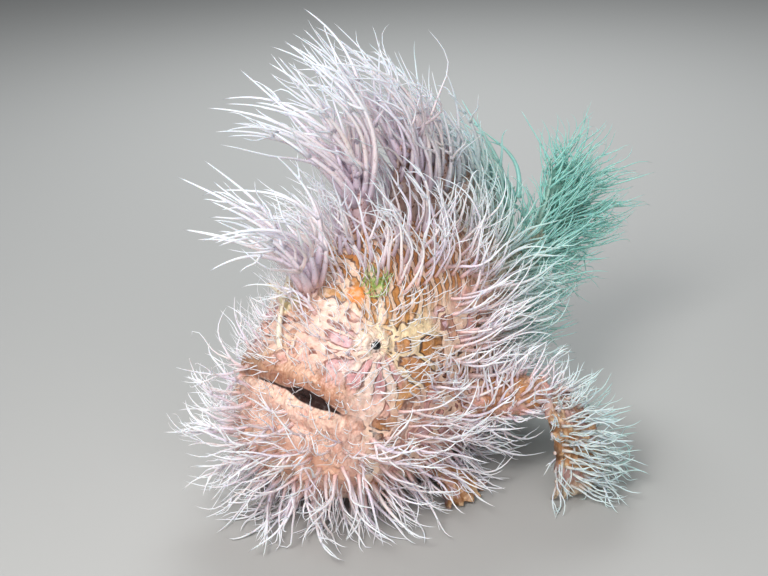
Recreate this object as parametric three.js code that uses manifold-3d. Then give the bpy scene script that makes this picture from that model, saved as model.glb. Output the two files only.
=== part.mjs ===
// A striated frogfish, life size, propped on its fins with its belly on the floor.
// Millimetres. +X points to the snout, +Y to the fish's left, +Z up. The floor is Z = 0
// and the origin lies on it, in the middle of the flat under the belly.
import * as THREE from 'three';
import { mergeVertices } from 'three/addons/utils/BufferGeometryUtils.js';
import Module from 'manifold-3d';

const wasm = await Module();
wasm.setup();

// Driving dimensions
const GAP = 0.3;
const FAR = 400;

// The body's lines from the tail root to the snout, as middle x, y, z, half height, half width
const BODY_LINES = [
  [-74, 13.5, 61, 0, 0],
  [-72.5, 13, 60.5, 7.5, 3],
  [-64, 10, 57, 11, 6],
  [-54, 6.5, 53, 17, 10.5],
  [-42, 3.5, 49.5, 26, 17.5],
  [-28, 1.2, 46, 35, 25],
  [-12, 0, 42.8, 42, 30],
  [4, 0, 42, 43, 31.5],
  [20, 0, 40.6, 40.8, 30.5],
  [32, 0, 38.5, 34.5, 28.5],
  [42, 0, 35.5, 27, 25.5],
  [49, 0, 33, 18.5, 20.5],
  [53, 0, 31.5, 9.5, 12],
  [54.5, 0, 31, 0, 0],
];
const BODY_SQUARENESS = 2.2;
const BODY_AROUND = 32;
const BODY_ALONG = 34;
const HEAD_SEAM_X = 15;
const TAIL_SEAM_X = -47;

const MOUTH = { x: 47.5, z: 50, tilt: Math.atan(0.814), halfWidth: 21, depth: 10, opening: 1.5 };
const LIP = { proud: 2.2, off: 4.2, wide: 3.2 };

const EYE = { radius: 2.9, x: 27, z: 61, sunk: 1.3, lidTube: 0.95 };
const NOSTRIL = { radius: 1.1, height: 2.6, x: 44, y: 9, z: 57 };

// Free spines of the head: root, tip, radius at root and tip
const ILLICIUM = { radius: 0.55, lureRadius: 1.1 };
const SPINE_2 = { root: [33, 0, 69], bend: [33, 1, 80], tip: [32, 2.5, 88], wide: 3.4, narrow: 2.2 };
const SPINE_3 = { root: [8, 0, 81], bend: [7, -1, 96], tip: [8, -2, 110], wide: 5.2, narrow: 3.2 };

const DORSAL = { rays: 9, front: 6.35, back: 2.75, long: 27, short: 15 };
const ANAL = { rays: 6, front: 3.9, back: 1.9, long: 19, short: 14 };
const CAUDAL = { rays: 7, long: 31, pitch: 0.58, spread: 0.72, turn: 0.05 };
const ARM = {
  shoulder: [-8, 22, 27], middle: [-15, 41, 33], wrist: [-23, 54, 34], radius: 8, wristRadius: 6,
};
const HAND = { rays: 6, first: [-13, 61, 0.4], last: [-36, 66, 0.4], bulge: 6 };
const RIGHT_STRIDE = 6;
const LEG = { hip: [9, 11, 11], middle: [6, 20, 9.5], ankle: [3, 27, 7.5], radius: 6.2, ankleRadius: 4.2 };
const FOOT = { rays: 5, first: [12, 37, 0.4], last: [-7, 37, 0.4], bulge: 2 };
const FIN = { rootHalf: 1.7, tipHalf: 0.75, membrane: 0.55, notch: 0.12, rows: 3 };

// Skin filaments: the current sways the upper ones forward and to the fish's right
const SWAY = new THREE.Vector3(0.667, -0.745, 0);
const FILAMENT = { sides: 3, steps: 3, crownSteps: 5, sunk: 1.6, clear: 0.4, floor: 0.45 };
const SEED = 20;

const COLOURS = {
  skin: 0xd9a98c, lip: 0xb9764a, throat: 0xe0b9a3, tail: 0x8fa596, fin: 0xa99484, arm: 0xb88a66, eye: 0xe8e2d2,
};

// Plain helpers
const UP = new THREE.Vector3(0, 0, 1);
const BACK = new THREE.Vector3(-1, 0, 0);
const vec = ([x, y, z]) => new THREE.Vector3(x, y, z);
const mix = (a, b, t) => a + (b - a) * t;
const smooth = (low, high, value) => THREE.MathUtils.smoothstep(value, low, high);
const rise = (low, high, value) => (low < high ? smooth(low, high, value) : 1 - smooth(high, low, value));

function seeded(seed) {
  let state = seed;
  return () => {
    state = (state + 0x6d2b79f5) | 0;
    let t = Math.imul(state ^ (state >>> 15), 1 | state);
    t = (t + Math.imul(t ^ (t >>> 7), 61 | t)) ^ t;
    return ((t ^ (t >>> 14)) >>> 0) / 4294967296;
  };
}

// Solids and geometry
function solidOf(geometry) {
  const bare = geometry.clone();
  for (const name of Object.keys(bare.attributes)) if (name !== 'position') bare.deleteAttribute(name);
  const merged = mergeVertices(bare, 1e-4);
  const build = (triangles) => new wasm.Manifold(new wasm.Mesh({
    numProp: 3,
    vertProperties: new Float32Array(merged.attributes.position.array),
    triVerts: new Uint32Array(triangles),
  }));
  const index = Array.from(merged.index.array);
  const solid = build(index);
  return solid.volume() > 0 ? solid : build(index.reverse());
}

function geometryOf(solid) {
  const mesh = solid.getMesh();
  const points = new Float32Array(mesh.numVert * 3);
  for (let i = 0; i < mesh.numVert; i += 1) {
    for (let c = 0; c < 3; c += 1) points[i * 3 + c] = mesh.vertProperties[i * mesh.numProp + c];
  }
  const geometry = new THREE.BufferGeometry();
  geometry.setAttribute('position', new THREE.BufferAttribute(points, 3));
  geometry.setIndex(Array.from(mesh.triVerts));
  geometry.computeVertexNormals();
  return geometry;
}

function largest(solid) {
  const pieces = solid.decompose();
  return pieces.reduce((best, piece) => (piece.volume() > best.volume() ? piece : best));
}

function shaped(geometry, place) {
  const position = geometry.attributes.position;
  const point = new THREE.Vector3();
  for (let i = 0; i < position.count; i += 1) {
    point.copy(place(point.fromBufferAttribute(position, i)));
    position.setXYZ(i, point.x, point.y, point.z);
  }
  return geometry;
}

// A block that fills one side of a plane, for parting the body
function beyond(point, normal) {
  const block = new THREE.BoxGeometry(FAR, FAR, FAR);
  block.translate(0, 0, FAR / 2);
  block.applyQuaternion(new THREE.Quaternion().setFromUnitVectors(UP, normal.clone().normalize()));
  block.translate(point.x, point.y, point.z);
  return solidOf(block);
}
const aboveFloor = beyond(new THREE.Vector3(), UP);

// The body as one smooth form over its lines
function bodyLine(k) {
  const last = BODY_LINES.length - 1;
  const place = THREE.MathUtils.clamp(k, 0, last - 1e-9);
  const i = Math.floor(place);
  const t = place - i;
  const [before, from, to, after] = [i - 1, i, i + 1, i + 2].map((j) => BODY_LINES[THREE.MathUtils.clamp(j, 0, last)]);
  return from.map((_, c) => 0.5 * (2 * from[c] + (to[c] - before[c]) * t
    + (2 * before[c] - 5 * from[c] + 4 * to[c] - after[c]) * t * t
    + (3 * from[c] - before[c] - 3 * to[c] + after[c]) * t ** 3));
}

const mouthNormal = new THREE.Vector3(-Math.sin(MOUTH.tilt), 0, Math.cos(MOUTH.tilt));
const mouthForward = new THREE.Vector3(Math.cos(MOUTH.tilt), 0, Math.sin(MOUTH.tilt));
const mouthPoint = new THREE.Vector3(MOUTH.x, 0, MOUTH.z);
const aboveMouth = (point) => point.clone().sub(mouthPoint).dot(mouthNormal);

// Lips swell on both sides of the mouth line and fade out at its corners
function lipSwell(point) {
  const height = aboveMouth(point);
  const bulge = Math.exp(-(((Math.abs(height) - LIP.off) / LIP.wide) ** 2)) - 0.8 * Math.exp(-((height / 1.6) ** 2));
  const fade = rise(MOUTH.halfWidth + 5, MOUTH.halfWidth - 3, Math.abs(point.y)) * rise(36, 42, point.x);
  return LIP.proud * bulge * fade;
}

function plainBody(k, angle) {
  const [x, y, z, halfHeight, halfWidth] = bodyLine(k);
  const across = Math.cos(angle);
  const upward = Math.sin(angle);
  const square = (value) => Math.sign(value) * Math.abs(value) ** (2 / BODY_SQUARENESS);
  return new THREE.Vector3(
    x, y + halfWidth * square(across) * (1 - 0.08 * upward), z + halfHeight * square(upward),
  );
}

function bodyNormal(k, angle) {
  const step = 0.02;
  const inner = THREE.MathUtils.clamp(k, 0.15, BODY_LINES.length - 1.15);
  const along = plainBody(inner + step, angle).sub(plainBody(inner - step, angle));
  const around = plainBody(inner, angle + step).sub(plainBody(inner, angle - step));
  return around.cross(along).normalize();
}

function bodyPoint(k, angle, grow = 0) {
  const point = plainBody(k, angle);
  const last = BODY_LINES.length - 1;
  const pole = k < 0.05 || k > last - 0.05;
  const normal = pole ? BACK.clone().multiplyScalar(k < 1 ? 1 : -1) : bodyNormal(k, angle);
  return point.addScaledVector(normal, grow + (pole ? 0 : lipSwell(point)));
}

function bodyForm(grow) {
  const ball = new THREE.SphereGeometry(1, BODY_AROUND, BODY_ALONG);
  return solidOf(shaped(ball, (v) => {
    const along = Math.acos(THREE.MathUtils.clamp(v.y, -1, 1)) / Math.PI;
    const angle = Math.atan2(v.z, v.x);
    return bodyPoint((1 - along) * (BODY_LINES.length - 1), angle, grow);
  }));
}

// A fleshy limb or spine over a curve, round at both ends
function limbForm(points, radii, grow = 0, around = 12, along = 10, flat = 1) {
  const curve = new THREE.QuadraticBezierCurve3(...points.map(vec));
  const ball = new THREE.SphereGeometry(1, around, along);
  return solidOf(shaped(ball, (v) => {
    const t = Math.acos(THREE.MathUtils.clamp(v.y, -1, 1)) / Math.PI;
    const centre = curve.getPoint(t);
    const forward = curve.getTangent(t);
    const side = new THREE.Vector3().crossVectors(forward, Math.abs(forward.z) > 0.9 ? BACK : UP).normalize();
    const lift = new THREE.Vector3().crossVectors(side, forward);
    const round = Math.max(0, Math.sin(Math.PI * t) - 1e-9) ** 0.35;
    const radius = (mix(radii[0], radii[1], t) + grow) * round;
    const angle = Math.atan2(v.z, v.x);
    const end = (t < 0.5 ? -1 : 1) * (1 - round) * grow;
    return centre.addScaledVector(side, Math.cos(angle) * radius)
      .addScaledVector(lift, Math.sin(angle) * radius * flat).addScaledVector(forward, end);
  }));
}

// A fin: rays stand as ridges on both faces of a membrane that is notched between them
function finForm({ rays, rootAt, tipAt, sideAt, bulge = 0, rootHalf = FIN.rootHalf, tipHalf = FIN.tipHalf }) {
  const columns = 2 * (rays - 1);
  const rows = FIN.rows;
  const width = columns + 1;
  const points = [];
  for (const face of [1, -1]) {
    for (let row = 0; row <= rows; row += 1) {
      for (let column = 0; column <= columns; column += 1) {
        const s = column / columns;
        const onRay = column % 2 === 0;
        const v = (row / rows) * (onRay ? 1 : 1 - FIN.notch);
        const side = sideAt(s);
        const point = rootAt(s).lerp(tipAt(s), v).addScaledVector(side, bulge * 4 * v * (1 - v));
        const half = mix(rootHalf, tipHalf, v) * (onRay ? 1 : FIN.membrane);
        points.push(point.addScaledVector(side, face * half));
      }
    }
  }
  const layer = width * (rows + 1);
  const index = [];
  const quad = (a, b, c, d) => index.push(a, b, d, b, c, d);
  for (let row = 0; row < rows; row += 1) {
    for (let column = 0; column < columns; column += 1) {
      const a = row * width + column;
      index.push(a, a + width, a + 1, a + width, a + width + 1, a + 1);
      index.push(layer + a, layer + a + 1, layer + a + width);
      index.push(layer + a + width, layer + a + 1, layer + a + width + 1);
    }
  }
  for (let column = 0; column < columns; column += 1) {
    const end = rows * width + column;
    quad(column, column + 1, layer + column + 1, layer + column);
    quad(end + 1, end, layer + end, layer + end + 1);
  }
  for (let row = 0; row < rows; row += 1) {
    const left = row * width;
    const right = left + columns;
    quad(left + width, left, layer + left, layer + left + width);
    quad(right, right + width, layer + right + width, layer + right);
  }
  const geometry = new THREE.BufferGeometry().setFromPoints(points);
  geometry.setIndex(index);
  return solidOf(geometry);
}

// Flesh, node by node
const body = bodyForm(0);
const grownBody = bodyForm(GAP);
const forwardX = new THREE.Vector3(1, 0, 0);

function mouthOpening() {
  const wedge = new THREE.BoxGeometry(1, 1, 1, 1, 10, 1);
  return solidOf(shaped(wedge, (v) => {
    const y = v.y * 2 * MOUTH.halfWidth;
    const ahead = v.x > 0 ? 30 : -MOUTH.depth - 4 * (1 - (y / MOUTH.halfWidth) ** 2);
    const gape = mix(MOUTH.opening, 0.2, (y / MOUTH.halfWidth) ** 2);
    const half = v.x > 0 ? gape : 0.2;
    return mouthPoint.clone().addScaledVector(mouthForward, ahead)
      .addScaledVector(mouthNormal, Math.sign(v.z) * half).setY(y);
  }));
}

function eyePlace(side) {
  let best = null;
  for (let k = 8; k < 10; k += 0.05) {
    for (let angle = 0.3; angle < 1.3; angle += 0.02) {
      const point = bodyPoint(k, angle);
      const miss = Math.hypot(point.x - EYE.x, point.z - EYE.z);
      if (!best || miss < best.miss) best = { miss, point, normal: bodyNormal(k, angle) };
    }
  }
  const flip = new THREE.Vector3(1, side, 1);
  return { point: best.point.multiply(flip), normal: best.normal.multiply(flip) };
}

function ballAt(centre, radius, around = 10, along = 8) {
  return solidOf(new THREE.SphereGeometry(radius, around, along).translate(centre.x, centre.y, centre.z));
}

function eyeParts(side) {
  const { point, normal } = eyePlace(side);
  const centre = point.clone().addScaledVector(normal, -EYE.sunk);
  const lid = new THREE.TorusGeometry(EYE.radius + GAP + EYE.lidTube * 0.7, EYE.lidTube * 1.3, 5, 12);
  lid.applyQuaternion(new THREE.Quaternion().setFromUnitVectors(UP, normal));
  lid.translate(point.x, point.y, point.z);
  return {
    centre,
    ball: ballAt(centre, EYE.radius),
    socket: ballAt(centre, EYE.radius + GAP),
    lid: solidOf(lid),
  };
}
const eyes = { left: eyeParts(1), right: eyeParts(-1) };

function nostril(side) {
  const profile = [[0, -2], [1.5, -2], [1.15, 1], [0.55, 1], [0.4, -0.6], [0, -0.6]].map(([r, h]) => (
    new THREE.Vector2(r * NOSTRIL.radius, (h * NOSTRIL.height) / 2)));
  const tube = new THREE.LatheGeometry(profile, 8);
  const normal = new THREE.Vector3(0.75, 0.3 * side, 0.6).normalize();
  tube.applyQuaternion(new THREE.Quaternion().setFromUnitVectors(new THREE.Vector3(0, 1, 0), normal));
  tube.translate(NOSTRIL.x, NOSTRIL.y * side, NOSTRIL.z);
  return solidOf(tube);
}

const halfGap = GAP / 2;
const frontHalf = beyond(new THREE.Vector3(HEAD_SEAM_X + halfGap, 0, 0), forwardX);
const overMouth = beyond(mouthPoint.clone().addScaledVector(mouthNormal, halfGap), mouthNormal);
const underMouth = beyond(mouthPoint.clone().addScaledVector(mouthNormal, -halfGap), mouthNormal.clone().negate());
const opening = mouthOpening();

const flesh = {};
flesh.head = body.add(eyes.left.lid).add(eyes.right.lid).add(nostril(1)).add(nostril(-1))
  .intersect(frontHalf).intersect(overMouth).subtract(opening)
  .subtract(eyes.left.socket).subtract(eyes.right.socket);
flesh.jaw = body.intersect(frontHalf).intersect(underMouth).subtract(opening);
flesh.torso = body.intersect(beyond(new THREE.Vector3(HEAD_SEAM_X - halfGap, 0, 0), BACK))
  .intersect(beyond(new THREE.Vector3(TAIL_SEAM_X + halfGap, 0, 0), forwardX));
flesh.tail = body.intersect(beyond(new THREE.Vector3(TAIL_SEAM_X - halfGap, 0, 0), BACK));
flesh.eye_left = eyes.left.ball;
flesh.eye_right = eyes.right.ball;

// The fishing spine lies folded back over the brow and ends in a worm-like lure of two lobes
function fishingSpine() {
  const rod = limbForm([[45, -1, 55], [44, -5, 67], [36, -7, 73.5]], [1.2, ILLICIUM.radius], 0, 6, 10);
  const upperLobe = limbForm([[37, -6.8, 73], [31, -9, 79], [27, -13, 80]], [ILLICIUM.lureRadius, 0.7], 0, 6, 8);
  const lowerLobe = limbForm([[37, -6.8, 73], [36, -11, 77], [36, -16, 75]], [ILLICIUM.lureRadius, 0.7], 0, 6, 8);
  return rod.add(upperLobe).add(lowerLobe);
}
flesh.dorsal_spine_1 = fishingSpine().subtract(grownBody);
const spineForm = (s) => limbForm([s.root, s.bend, s.tip], [s.wide, s.narrow], 0, 9, 9);
flesh.dorsal_spine_2 = spineForm(SPINE_2).subtract(grownBody);
flesh.dorsal_spine_3 = spineForm(SPINE_3).subtract(grownBody);

// Median fins
const overBack = Math.PI / 2;
const sideways = () => new THREE.Vector3(0, 1, 0);
flesh.dorsal_fin = finForm({
  rays: DORSAL.rays,
  rootAt: (s) => bodyPoint(mix(DORSAL.front, DORSAL.back, s), overBack, -3),
  tipAt: (s) => {
    const lean = new THREE.Vector3(mix(-0.2, -0.85, s), mix(0.06, 0.16, s), 1).normalize();
    const length = mix(DORSAL.long, DORSAL.short, s ** 1.5) * (1 + 0.06 * Math.sin(s * 9));
    return bodyPoint(mix(DORSAL.front, DORSAL.back, s), overBack).addScaledVector(lean, length);
  },
  sideAt: sideways,
  bulge: -1.5,
}).subtract(grownBody);
flesh.anal_fin = finForm({
  rays: ANAL.rays,
  rootAt: (s) => bodyPoint(mix(ANAL.front, ANAL.back, s), -overBack, -3),
  tipAt: (s) => {
    const lean = new THREE.Vector3(mix(-0.35, -0.9, s), mix(0.05, 0.2, s), -0.9).normalize();
    return bodyPoint(mix(ANAL.front, ANAL.back, s), -overBack)
      .addScaledVector(lean, mix(ANAL.long, ANAL.short, s));
  },
  sideAt: sideways,
}).subtract(grownBody);
flesh.caudal_fin = finForm({
  rays: CAUDAL.rays,
  rootAt: (s) => new THREE.Vector3(mix(-69.5, -67.5, s), 12.2, mix(66, 54, s)),
  tipAt: (s) => {
    const pitch = CAUDAL.pitch + mix(CAUDAL.spread, -CAUDAL.spread, s);
    const ray = new THREE.Vector3(-Math.cos(pitch), CAUDAL.turn * Math.sin(s * Math.PI), Math.sin(pitch));
    return new THREE.Vector3(-72, 13, mix(65, 56, s)).addScaledVector(ray, CAUDAL.long * (1 - 0.12 * (2 * s - 1) ** 2));
  },
  sideAt: () => new THREE.Vector3(0.08, 1, 0).normalize(),
  bulge: 2,
}).subtract(grownBody);

// Paired fins: a fleshy limb and a hand of rays that ends flat on the floor
function pairedFin(limb, hand, side, stride) {
  const move = ([x, y, z]) => [x + stride, y * side, z];
  const names = Object.keys(limb).filter((name) => Array.isArray(limb[name]));
  const points = names.map((name) => move(limb[name]));
  const radii = names[0] === 'shoulder' ? [limb.radius, limb.wristRadius] : [limb.radius, limb.ankleRadius];
  const end = vec(points[2]);
  const along = end.clone().sub(vec(points[1])).normalize();
  const first = vec(move(hand.first));
  const last = vec(move(hand.last));
  const spread = last.clone().sub(first).normalize();
  const outward = new THREE.Vector3(-spread.y * side, spread.x * side, 0).normalize().multiplyScalar(-1);
  const fin = finForm({
    rays: hand.rays,
    rootAt: (s) => end.clone().addScaledVector(along, radii[1] * 0.15)
      .addScaledVector(spread, mix(-0.62, 0.62, s) * radii[1]),
    tipAt: (s) => first.clone().lerp(last, s).addScaledVector(outward, 3.5 * Math.sin(s * Math.PI)),
    sideAt: () => outward.clone().addScaledVector(UP, 0.6).normalize(),
    bulge: hand.bulge,
    rootHalf: FIN.rootHalf * 1.25,
    tipHalf: 1.15,
  });
  const limbSolid = limbForm(points, radii, 0, 12, 9);
  return {
    limb: limbSolid.subtract(grownBody).intersect(aboveFloor),
    fin: fin.subtract(limbForm(points, radii, GAP, 12, 9)).subtract(grownBody).intersect(aboveFloor),
  };
}
for (const [name, side, stride] of [['left', 1, 0], ['right', -1, RIGHT_STRIDE]]) {
  const pectoral = pairedFin(ARM, HAND, side, stride);
  flesh[`pectoral_arm_${name}`] = pectoral.limb;
  flesh[`pectoral_fin_${name}`] = pectoral.fin;
  const pelvic = pairedFin(LEG, FOOT, side, 0);
  flesh[`pelvic_leg_${name}`] = pelvic.limb;
  flesh[`pelvic_fin_${name}`] = pelvic.fin;
}
for (const name of Object.keys(flesh)) flesh[name] = largest(flesh[name].intersect(aboveFloor));

// Triangles of a solid, for setting roots on it and for keeping clear of it
function trianglesOf(solid) {
  const mesh = solid.getMesh();
  const corner = (i) => new THREE.Vector3(...[0, 1, 2].map((c) => mesh.vertProperties[i * mesh.numProp + c]));
  const list = [];
  for (let i = 0; i < mesh.triVerts.length; i += 3) {
    const triangle = new THREE.Triangle(...[0, 1, 2].map((c) => corner(mesh.triVerts[i + c])));
    const middle = triangle.getMidpoint(new THREE.Vector3());
    const reach = Math.max(...['a', 'b', 'c'].map((c) => middle.distanceTo(triangle[c])));
    list.push({ triangle, middle, reach, area: triangle.getArea() });
  }
  return list;
}
const fleshFaces = {};
for (const [name, solid] of Object.entries(flesh)) fleshFaces[name] = trianglesOf(solid);

// Filament paths: straight runs between the stations of a bent, tapered cone
function filamentPath(root, normal, lie) {
  const points = [root.clone().addScaledVector(normal, -FILAMENT.sunk)];
  const place = points[0].clone();
  const step = (lie.length + FILAMENT.sunk) / lie.steps;
  for (let i = 0; i < lie.steps; i += 1) {
    const t = i / (lie.steps - 1);
    const heading = lie.start.clone().multiplyScalar((1 - t) ** 1.3).addScaledVector(lie.end, t ** 0.9).normalize();
    place.addScaledVector(heading, step);
    const lowest = FILAMENT.floor + lie.radius;
    if (place.z < lowest) place.z = lowest;
    points.push(place.clone());
  }
  return points;
}
const radiusAt = (lie, t) => lie.radius * (1 - t);

function filamentForm(path, lie) {
  const cone = new THREE.ConeGeometry(1, 1, FILAMENT.sides, lie.steps);
  const frames = path.map((point, i) => {
    const forward = path[Math.min(i + 1, path.length - 1)].clone().sub(path[Math.max(i - 1, 0)]).normalize();
    const side = new THREE.Vector3().crossVectors(forward, lie.across).normalize();
    return { point, side, lift: new THREE.Vector3().crossVectors(side, forward) };
  });
  return solidOf(shaped(cone, (v) => {
    const { point, side, lift } = frames[Math.round((v.y + 0.5) * lie.steps)];
    return point.clone().addScaledVector(side, v.x * lie.radius).addScaledVector(lift, v.z * lie.radius);
  }));
}

function segmentGap(a, b, c, d) {
  const ab = b.clone().sub(a);
  const cd = d.clone().sub(c);
  const ac = c.clone().sub(a);
  const [aa, bb, cc, dd, ee] = [ab.dot(ab), ab.dot(cd), cd.dot(cd), ab.dot(ac), cd.dot(ac)];
  const det = aa * cc - bb * bb;
  let s = det > 1e-9 ? THREE.MathUtils.clamp((dd * cc - bb * ee) / det, 0, 1) : 0;
  const t = THREE.MathUtils.clamp((bb * s - ee) / cc, 0, 1);
  s = THREE.MathUtils.clamp((bb * t + dd) / aa, 0, 1);
  return a.clone().addScaledVector(ab, s).distanceTo(c.clone().addScaledVector(cd, t));
}

const placed = [];
function clearOfFilaments(node, path, lie) {
  const middle = path[2];
  for (const other of placed) {
    if (middle.distanceTo(other.middle) > (lie.length + other.lie.length) * 0.6 + 4) continue;
    const same = other.node === node;
    for (let i = same ? 1 : 0; i < lie.steps; i += 1) {
      for (let j = same ? 1 : 0; j < other.lie.steps; j += 1) {
        const room = radiusAt(lie, i / lie.steps) + radiusAt(other.lie, j / other.lie.steps) + FILAMENT.clear;
        if (segmentGap(path[i], path[i + 1], other.path[j], other.path[j + 1]) < room) return false;
      }
    }
  }
  return true;
}

const probe = new THREE.Vector3();
function clearOfFlesh(node, path, lie) {
  for (let i = 0; i < lie.steps; i += 1) {
    const length = path[i].distanceTo(path[i + 1]);
    const samples = Math.ceil(length / 0.8);
    for (let n = 0; n <= samples; n += 1) {
      const point = path[i].clone().lerp(path[i + 1], n / samples);
      const own = i > 0 || n / samples > 0.75;
      const room = radiusAt(lie, (i + n / samples) / lie.steps) + FILAMENT.clear;
      for (const [name, faces] of Object.entries(fleshFaces)) {
        if (name === node && !own) continue;
        for (const face of faces) {
          if (point.distanceToSquared(face.middle) > (face.reach + room) ** 2) continue;
          if (face.triangle.closestPointToPoint(point, probe).distanceTo(point) < room) return false;
        }
      }
    }
  }
  return true;
}

// How the filaments lie over the body, and how long they grow there
const eyeSurface = [eyes.left.centre, eyes.right.centre];
function bodyLie(root, normal, draw) {
  const top = rise(0.25, 0.8, normal.z) * rise(48, 66, root.z);
  const low = rise(30, 12, root.z);
  const face = rise(30, 46, root.x);
  const eyeNear = Math.min(...eyeSurface.map((eye) => eye.distanceTo(root)));
  if (eyeNear < 6.5) return null;
  if (Math.abs(aboveMouth(root)) < 3 && root.x > 36 && Math.abs(root.y) < MOUTH.halfWidth + 2) return null;
  const flat = new THREE.Vector3(normal.x, normal.y, 0).normalize();
  const start = normal.clone()
    .addScaledVector(BACK, 0.45 * (1 - low) * (1 - face))
    .addScaledVector(UP, 0.45 * top - 0.3 * low)
    .addScaledVector(SWAY, 0.2 * top);
  const end = normal.clone().multiplyScalar(0.45)
    .addScaledVector(BACK, 0.6 * (1 - top) * (1 - low) * (1 - face))
    .addScaledVector(UP, 0.5 * (1 - low) - 0.12 * low)
    .addScaledVector(flat, 0.8 * low)
    .addScaledVector(SWAY, 0.8 * top);
  const reach = mix(mix(20, 26, low), 27, top) * mix(0.55, 1, rise(10, 24, eyeNear));
  return { start, end, length: reach * mix(0.75, 1.25, draw()), radius: mix(0.85, 1.1, draw()) };
}

// Crowns of the free spines and the upper fin: up, then swept over by the current
function crownLie(from, to, length, radius, part) {
  return (root, normal, draw) => {
    if (root.z < mix(from, to, part)) return null;
    const start = normal.clone().multiplyScalar(0.35).addScaledVector(UP, 0.9).addScaledVector(SWAY, 0.1);
    const end = normal.clone().multiplyScalar(0.25).addScaledVector(UP, mix(0.35, 0.95, draw())).addScaledVector(SWAY, 0.95);
    return { start, end, length: length * mix(0.7, 1.1, draw()), radius: radius * mix(0.85, 1.1, draw()) };
  };
}

function rayLie(centre, length, lift) {
  return (root, normal, draw) => {
    const away = root.clone().sub(vec(centre)).normalize();
    if (away.lengthSq() === 0) return null;
    const start = away.clone().addScaledVector(normal, 0.7);
    const end = away.clone().addScaledVector(normal, 0.3).addScaledVector(UP, lift);
    return { start, end, length: length * mix(0.7, 1.15, draw()), radius: mix(0.7, 0.9, draw()) };
  };
}

const lieOfHand = (side) => (root, normal, draw) => {
  if (root.z < 3.5) return null;
  const start = normal.clone().addScaledVector(UP, 0.1);
  const end = new THREE.Vector3(-0.6, 0.55 * side, mix(-0.2, 0.7, draw())).addScaledVector(normal, 0.3);
  return { start, end, length: mix(9, 16, draw()), radius: mix(0.7, 0.9, draw()) };
};

// Filament count, least distance between roots, and lie, for each node that bears them
const COAT = {
  head: [40, 6.5, bodyLie],
  jaw: [50, 5.8, bodyLie],
  torso: [62, 7.8, bodyLie],
  tail: [9, 7, bodyLie],
  dorsal_spine_2: [8, 2.2, crownLie(73, 88, 52, 1.5, 0.5)],
  dorsal_spine_3: [14, 2.6, crownLie(86, 110, 56, 1.45, 0.35)],
  dorsal_fin: [16, 4.4, crownLie(60, 108, 46, 1.2, 0.35)],
  anal_fin: [7, 4.6, rayLie([-40, 6, 48], 13, 0.25)],
  caudal_fin: [18, 5, rayLie([-66, 12.5, 58], 23, 0.15)],
  pectoral_arm_left: [6, 6.5, lieOfHand(1)],
  pectoral_arm_right: [6, 6.5, lieOfHand(-1)],
  pectoral_fin_left: [9, 5.5, lieOfHand(1)],
  pectoral_fin_right: [9, 5.5, lieOfHand(-1)],
  pelvic_fin_left: [2, 4, lieOfHand(1)],
  pelvic_fin_right: [2, 4, lieOfHand(-1)],
};

function growCoat(node, [count, spacing, lieAt], draw) {
  const faces = fleshFaces[node];
  const sums = [];
  faces.reduce((sum, face, i) => (sums[i] = sum + face.area), 0);
  const roots = [];
  for (let attempt = 0; attempt < count * 60 && roots.length < count; attempt += 1) {
    const pick = draw() * sums[sums.length - 1];
    const face = faces[sums.findIndex((sum) => sum >= pick)];
    const [u, v] = [draw(), draw()];
    const [p, q] = u + v > 1 ? [1 - u, 1 - v] : [u, v];
    const { a, b, c } = face.triangle;
    const root = a.clone().addScaledVector(b.clone().sub(a), p).addScaledVector(c.clone().sub(a), q);
    const normal = face.triangle.getNormal(new THREE.Vector3());
    if (root.z < 2 || roots.some((other) => other.distanceTo(root) < spacing)) continue;
    const lie = lieAt(root, normal, draw);
    if (!lie) continue;
    lie.steps = node.startsWith('dorsal') ? FILAMENT.crownSteps : FILAMENT.steps;
    lie.across = new THREE.Vector3(draw() - 0.5, draw() - 0.5, draw() - 0.5).normalize();
    const path = filamentPath(root, normal, lie);
    if (!clearOfFilaments(node, path, lie) || !clearOfFlesh(node, path, lie)) continue;
    placed.push({ node, path, lie, middle: path[2] });
    roots.push(root);
  }
}

const draw = seeded(SEED);
for (const [node, coat] of Object.entries(COAT)) growCoat(node, coat, draw);

function coated(name) {
  let solid = flesh[name];
  for (const { node, path, lie } of placed) if (node === name) solid = solid.add(filamentForm(path, lie));
  return largest(solid);
}

// The named nodes
function colourOf(name) {
  if (name.startsWith('eye')) return COLOURS.eye;
  if (name === 'jaw') return COLOURS.throat;
  if (name.startsWith('tail') || name.startsWith('caudal')) return COLOURS.tail;
  if (name.startsWith('pectoral_arm')) return COLOURS.arm;
  return name.includes('fin') || name.includes('spine') ? COLOURS.fin : COLOURS.skin;
}

const frogfish = new THREE.Group();
for (const name of Object.keys(flesh)) {
  const eye = name.startsWith('eye');
  const material = new THREE.MeshStandardMaterial({
    color: colourOf(name), roughness: eye ? 0.15 : 0.6, metalness: 0,
  });
  const mesh = new THREE.Mesh(geometryOf(coated(name)), material);
  mesh.name = name;
  frogfish.add(mesh);
}

export default frogfish;
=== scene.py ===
# A striated frogfish at rest, life size, seen from its front left and a little above.
# The frame is in metres. The sizes here are in millimetres, and MM brings them to the frame.
import math

import bmesh
import bpy
import numpy as np
from mathutils import Matrix, Vector
from mathutils.bvhtree import BVHTree


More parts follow.
